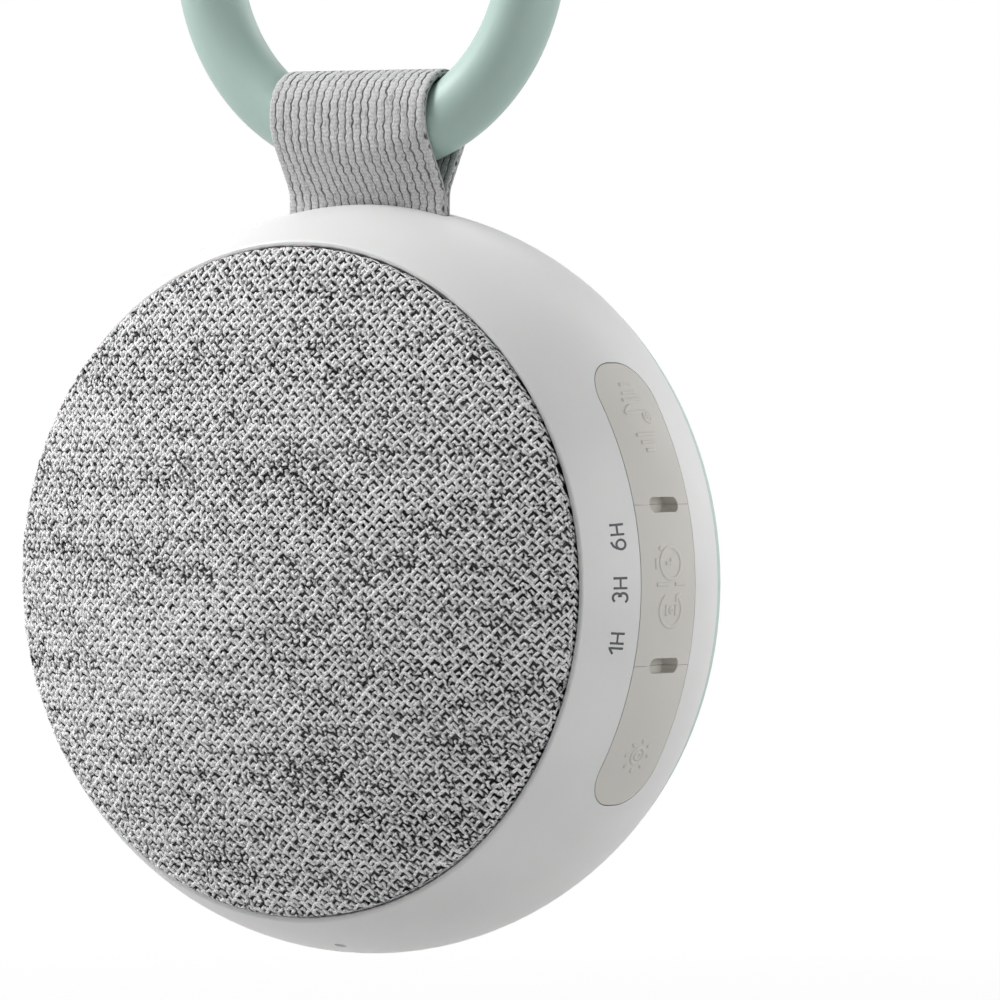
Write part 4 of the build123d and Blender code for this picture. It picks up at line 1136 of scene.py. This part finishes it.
HORN = [(-2.5, -0.65), (-1.5, -0.65), (0.5, -2.0), (0.5, 2.0), (-1.5, 0.65), (-2.5, 0.65),
        (-2.5, -0.65)]
STROKES = {   # (right, up) in millimetres, as each mark is read
    Mark.SOUND: [
        *bars((-5.4, 1.8), (-4.3, 2.8), (-3.2, 3.7), (1.85, 3.7), (2.85, 2.8), (4.1, 2.1)),
        [(0.0, 2.4), (0.0, -1.5)], arc((-0.75, -1.75), 0.75, 0, 360),
        arc((-0.75, -1.75), 0.3, 0, 360, 12), [(0.0, 2.4), (0.75, 1.6), (1.0, 0.9)]],
    Mark.TIMER: [
        arc((2.45, 0.0), 2.1, 0, 360, 40), [(2.45, 0.0), (2.45, 1.1)], [(2.45, 0.0), (3.1, 0.0)],
        [(1.75, 2.85), (3.15, 2.85)], [(4.2, 1.8), (4.6, 2.2)],
        [(-0.3, -2.9), (-0.3, -0.7)], [(-0.3, 0.7), (-0.3, 2.9)],
        arc((-3.7, 0.0), 2.2, 30, 330, 36), [(-1.75, -1.9), (-1.8, -1.1), (-2.6, -1.0)],
        arc((-3.7, 0.0), 0.3, 0, 360, 10), [(-4.4, 0.95), (-3.0, 0.95)],
        [(-4.4, -0.95), (-3.0, -0.95)]],
    Mark.LIGHT: [arc((0.0, 0.0), 1.15, 0, 360, 26), arc((0.0, 0.0), 0.5, 0, 360, 12)] + [
        [(1.85 * math.cos(angle), 1.85 * math.sin(angle)),
         (2.5 * math.cos(angle), 2.5 * math.sin(angle))]
        for angle in np.linspace(0, 2 * math.pi, 8, endpoint=False)],
    Mark.VOLUME_DOWN: [HORN] + bars((1.6, 1.6)),
    Mark.VOLUME_UP: [HORN] + bars((1.6, 1.6), (2.7, 2.6)),
    Mark.POWER: [arc((0.0, 0.0), 2.05, 125, 415, 34), [(0.0, 0.2), (0.0, 2.5)]],
}

FIGURES = {   # strokes in a square of 1, and the width to the next figure
    "1": ([[(0.1, 0.72), (0.5, 1.0), (0.5, 0.0)]], 0.72),
    "3": ([arc((0.42, 0.74), 0.30, 150, -80, 14), arc((0.40, 0.30), 0.33, 80, -150, 14)], 0.95),
    "6": ([arc((0.42, 0.32), 0.33, 0, 360, 22),
           [(0.10, 0.38), (0.16, 0.62), (0.34, 0.88), (0.62, 1.02)]], 0.98),
    "H": ([[(0.12, 0.0), (0.12, 1.0)], [(0.80, 0.0), (0.80, 1.0)], [(0.12, 0.5), (0.80, 0.5)]],
          0.95),
}
HOURS = {"6H": 6.8 * MM, "3H": -0.45 * MM, "1H": -7.75 * MM}


@dataclass
class Relief:
    """Low bevelled strokes on one side of the drum, gathered into one piece."""

    drum: Drum
    side: int                         # 1 for the right side, -1 for the left
    height: float                     # of the middle, above the drum's centre
    base_y: float                     # depth of the middle
    width: float                      # of a stroke
    raised: float                     # height of its crown above the surface
    sunk: float                       # depth of its foot below the surface
    sample: float = 0.25 * MM
    bevel: tuple[Point2, ...] = ((0.5, 0.45), (0.36, 0.85), (0.0, 1.0))
    points: list = field(default_factory=list)
    faces: list = field(default_factory=list)

    def place(self, right: float, up: float, lift: float) -> Vector:
        """Place on the side of a point of a mark as it is read."""
        angle = math.asin(self.height / self.drum.widest) + self.side * right / self.drum.widest
        return self.drum.point(self.side, self.base_y - up, angle, lift)

    def stroke(self, path: list[Point2]) -> None:
        """Add one stroke, a ridge along a path of (right, up) in metres."""
        line = [np.array(point, float) for point in path]
        closed = np.hypot(*(line[0] - line[-1])) < 1e-9
        dense = [line[0]]
        for before, after in zip(line, line[1:]):
            steps = max(1, int(math.ceil(np.hypot(*(after - before)) / self.sample)))
            dense += [before + (after - before) * (k + 1) / steps for k in range(steps)]
        if closed:
            dense = dense[:-1]
        half = [(-share, rise * self.raised) for share, rise in self.bevel]
        crown = half + [(-share, lift) for share, lift in reversed(half[:-1])]
        profile = [(-0.5, -self.sunk), *crown, (0.5, -self.sunk)]
        count, start = len(dense), len(self.points)
        for index, here in enumerate(dense):
            before = dense[index - 1] if closed or index else here
            after = dense[(index + 1) % count] if closed or index + 1 < count else here
            along = (after - before) / max(np.hypot(*(after - before)), 1e-12)
            normal = np.array((-along[1], along[0]))
            for share, lift in profile:
                self.points.append(self.place(*(here + normal * share * self.width), lift))
        self.faces += tube_faces(count, len(profile), ring=closed, start=start)

    def piece(self, name: str, finish: Finish, slot: str, carrier: str) -> None:
        """Make the piece and let it ride on its carrier."""
        piece = mesh_piece(name, self.points, self.faces, finish)
        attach(piece, carrier)


@dataclass
class SideMarks:
    """Raised key marks and printed figures on the drum's sides."""

    drum: Drum
    strip_y: float = -3.2 * MM
    mark_line: Triple = (0.52 * MM, 0.20 * MM, 0.10 * MM)     # width, crown and foot
    figure_y: float = -11.0 * MM      # foot of the printed figures
    figure_height: float = 2.0 * MM
    figure_line: Triple = (0.34 * MM, 0.07 * MM, 0.07 * MM)

    def mark(self, mark: Mark) -> None:
        """Build the raised mark of one key."""
        key, side, height = mark.value
        relief = Relief(self.drum, side, height * MM, self.strip_y, *self.mark_line)
        for stroke in STROKES[mark]:
            relief.stroke([(x * MM, y * MM) for x, y in stroke])
        relief.piece(key + "_mark", SILICONE, "key_silicone", key + "_key")

    def figures(self, text: str, height: float) -> None:
        """Print one hour figure on the shell in front of the right key strip.

        Args:
            text: Figures and letters to print.
            height: Height of the text's middle above the drum's centre.
        """
        relief = Relief(self.drum, 1, height, self.figure_y, *self.figure_line)
        size = self.figure_height
        cursor = -sum(FIGURES[letter][1] for letter in text) * size / 2
        for letter in text:
            strokes, advance = FIGURES[letter]
            for stroke in strokes:
                relief.stroke([(cursor + x * size, y * size) for x, y in stroke])
            cursor += advance * size
        relief.piece("hours_" + text.lower(), INK, "black_plastic", "housing")

    def build(self) -> None:
        """Build every mark and figure."""
        for mark in Mark:
            self.mark(mark)
        for text, height in HOURS.items():
            self.figures(text, height)
        LOG.info("side marks: %d marks and %d figures", len(Mark), len(HOURS))


# ---------- carried-over pieces
class CarriedPieces:
    """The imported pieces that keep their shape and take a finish."""

    def build(self) -> None:
        """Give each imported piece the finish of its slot."""
        low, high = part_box("light_diffuser")
        opal = Opal("opal", (1.0, 0.955, 0.72), 0.45, centre=tuple((low + high) / 2),
                    radius=(high.x - low.x) / 2)
        finishes = {**SLOT_FINISHES, "opal": opal}
        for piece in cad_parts.values():
            finish = finishes.get(piece.data.materials[0].name.split(".")[0])
            if finish:
                piece.data.materials[0] = finish.material()
        LOG.info("carried pieces: %d", len(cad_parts))


# ---------- studio
@dataclass
class Studio:
    """Camera, lamps, world and floor."""

    aim: Vector
    distance: float = 1.200
    azimuth: float = 34.36
    elevation: float = 1.62
    roll: float = -0.04
    lens: float = 323.4
    sensor: float = 36.0
    picture: int = 1000
    aim_x: float = 369.6              # where the drum's centre lands in the picture
    aim_y: float = 578.8
    floor_gap: float = 0.028
    floor_reach: float = 6.0
    soft_light: float = 0.23          # from all round

    LAMPS = {   # place from the aim, edge of the square, watts
        "key": ((-0.80, -0.45, 0.85), 0.6, 15.0),
        "side": ((-1.05, -0.30, 0.42), 1.2, 2.6),
        "fill": ((1.00, 0.10, 0.10), 0.8, 4.8),
        "back": ((0.35, 0.95, 0.45), 0.8, 2.6),
    }

    def camera(self) -> None:
        """Place the camera at the viewing angle."""
        data = bpy.data.cameras.new("camera")
        data.lens = self.lens
        data.sensor_width = self.sensor
        data.clip_start = 0.01
        camera = placed("camera", data)
        turn, tilt = math.radians(self.azimuth), math.radians(self.elevation)
        back = Vector((math.sin(turn) * math.cos(tilt), -math.cos(turn) * math.cos(tilt),
                       math.sin(tilt)))
        right = Vector((0, 0, 1)).cross(back).normalized()
        basis = Matrix((right, back.cross(right), back)).transposed()
        focal = self.lens / self.sensor * self.picture
        pitch = math.atan((self.aim_y - self.picture / 2) / focal)
        yaw = math.atan((self.picture / 2 - self.aim_x) / focal * math.cos(pitch))
        for angle, axis in ((math.radians(self.roll), "Z"), (-yaw, "Y"), (pitch, "X")):
            basis = basis @ Matrix.Rotation(angle, 3, axis)
        spot = self.aim + back * self.distance
        camera.matrix_world = Matrix.Translation(spot) @ basis.to_4x4()
        bpy.context.scene.camera = camera

    def lamp(self, name: str, place: Triple, size: float, power: float) -> None:
        """Hang a soft square lamp that faces the machine.

        Args:
            name: Name of the lamp.
            place: Where it hangs, from the aim.
            size: Edge of its square.
            power: Watts.
        """
        data = bpy.data.lights.new(name, "AREA")
        data.size = size
        data.energy = power
        lamp = placed(name, data)
        turned = (-Vector(place)).to_track_quat("-Z", "Y").to_matrix()
        lamp.matrix_world = Matrix.Translation(self.aim + Vector(place)) @ turned.to_4x4()

    @staticmethod
    def seen(graph: Graph) -> Socket:
        """1 for rays that show the surroundings in the picture, in gloss or through glass."""
        path = graph.add("ShaderNodeLightPath").outputs
        direct = graph.math("MAXIMUM", path["Is Camera Ray"], path["Is Glossy Ray"])
        return graph.math("MAXIMUM", direct, path["Is Transmission Ray"])

    def world(self) -> None:
        """Even pale light from all round, and white behind the machine."""
        world = bpy.data.worlds.new("studio")
        world.use_nodes = True
        graph = Graph(world.node_tree)
        strength = graph.spread(self.seen(graph), 0.0, 1.0, self.soft_light, 1.0)
        graph.feed(graph.tree.nodes["Background"], {"Color": (1.0, 1.0, 1.0, 1.0),
                                                    "Strength": strength})
        bpy.context.scene.world = world

    def floor(self) -> None:
        """Wide pale floor under the machine."""
        low, reach = CAD_BOX[0][2] - self.floor_gap, self.floor_reach
        corners = [(-reach, -reach, low), (reach, -reach, low), (reach, reach, low),
                   (-reach, reach, low)]
        mesh = bpy.data.meshes.new("floor")
        mesh.from_pydata(corners, [], [(0, 1, 2, 3)])
        floor = placed("floor", mesh)
        material = bpy.data.materials.new("floor")
        material.use_nodes = True
        graph = Graph(material.node_tree)
        seen = self.seen(graph)
        tone = graph.blend(seen, (0.50, 0.50, 0.50), (0.85, 0.85, 0.85))
        shader = graph.feed(graph.tree.nodes["Principled BSDF"], {"Roughness": 0.9,
                                                                  "Base Color": tone})
        place = graph.add("ShaderNodeTexCoord").outputs["Object"]
        away = graph.length(graph.vector("MULTIPLY", place, Vector((1, 1, 0))))
        share = graph.math("MULTIPLY", seen, graph.spread(away, 0.12, 0.42, 0.6, 1.0))
        glow = graph.add("ShaderNodeEmission", {"Color": (1.0, 1.0, 1.0, 1.0), "Strength": 1.0})
        mixed = graph.add("ShaderNodeMixShader", {0: share, 1: shader.outputs[0],
                                                  2: glow.outputs[0]})
        graph.feed(graph.tree.nodes["Material Output"], {"Surface": mixed.outputs[0]})
        mesh.materials.append(material)

    def build(self) -> None:
        """Set up the whole studio."""
        self.camera()
        self.world()
        self.floor()
        for name, lamp in self.LAMPS.items():
            self.lamp(name, *lamp)
        bpy.context.scene.view_settings.view_transform = "Standard"
        LOG.info("studio ready")


def main() -> None:
    """Build the pieces in order and set up the studio."""
    logging.basicConfig(level=logging.INFO, format="%(name)s: %(message)s")
    low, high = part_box("knit_cover")
    centre_z = (low.z + high.z) / 2
    drum = Drum(centre_z=centre_z, widest=centre_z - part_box("housing")[0].z)
    CarriedPieces().build()
    KnitCover(drum).build()
    Strap().build()
    SideMarks(drum).build()
    Studio(aim=Vector((0.0, 0.0, drum.centre_z))).build()


if __name__ == "__main__":
    main()
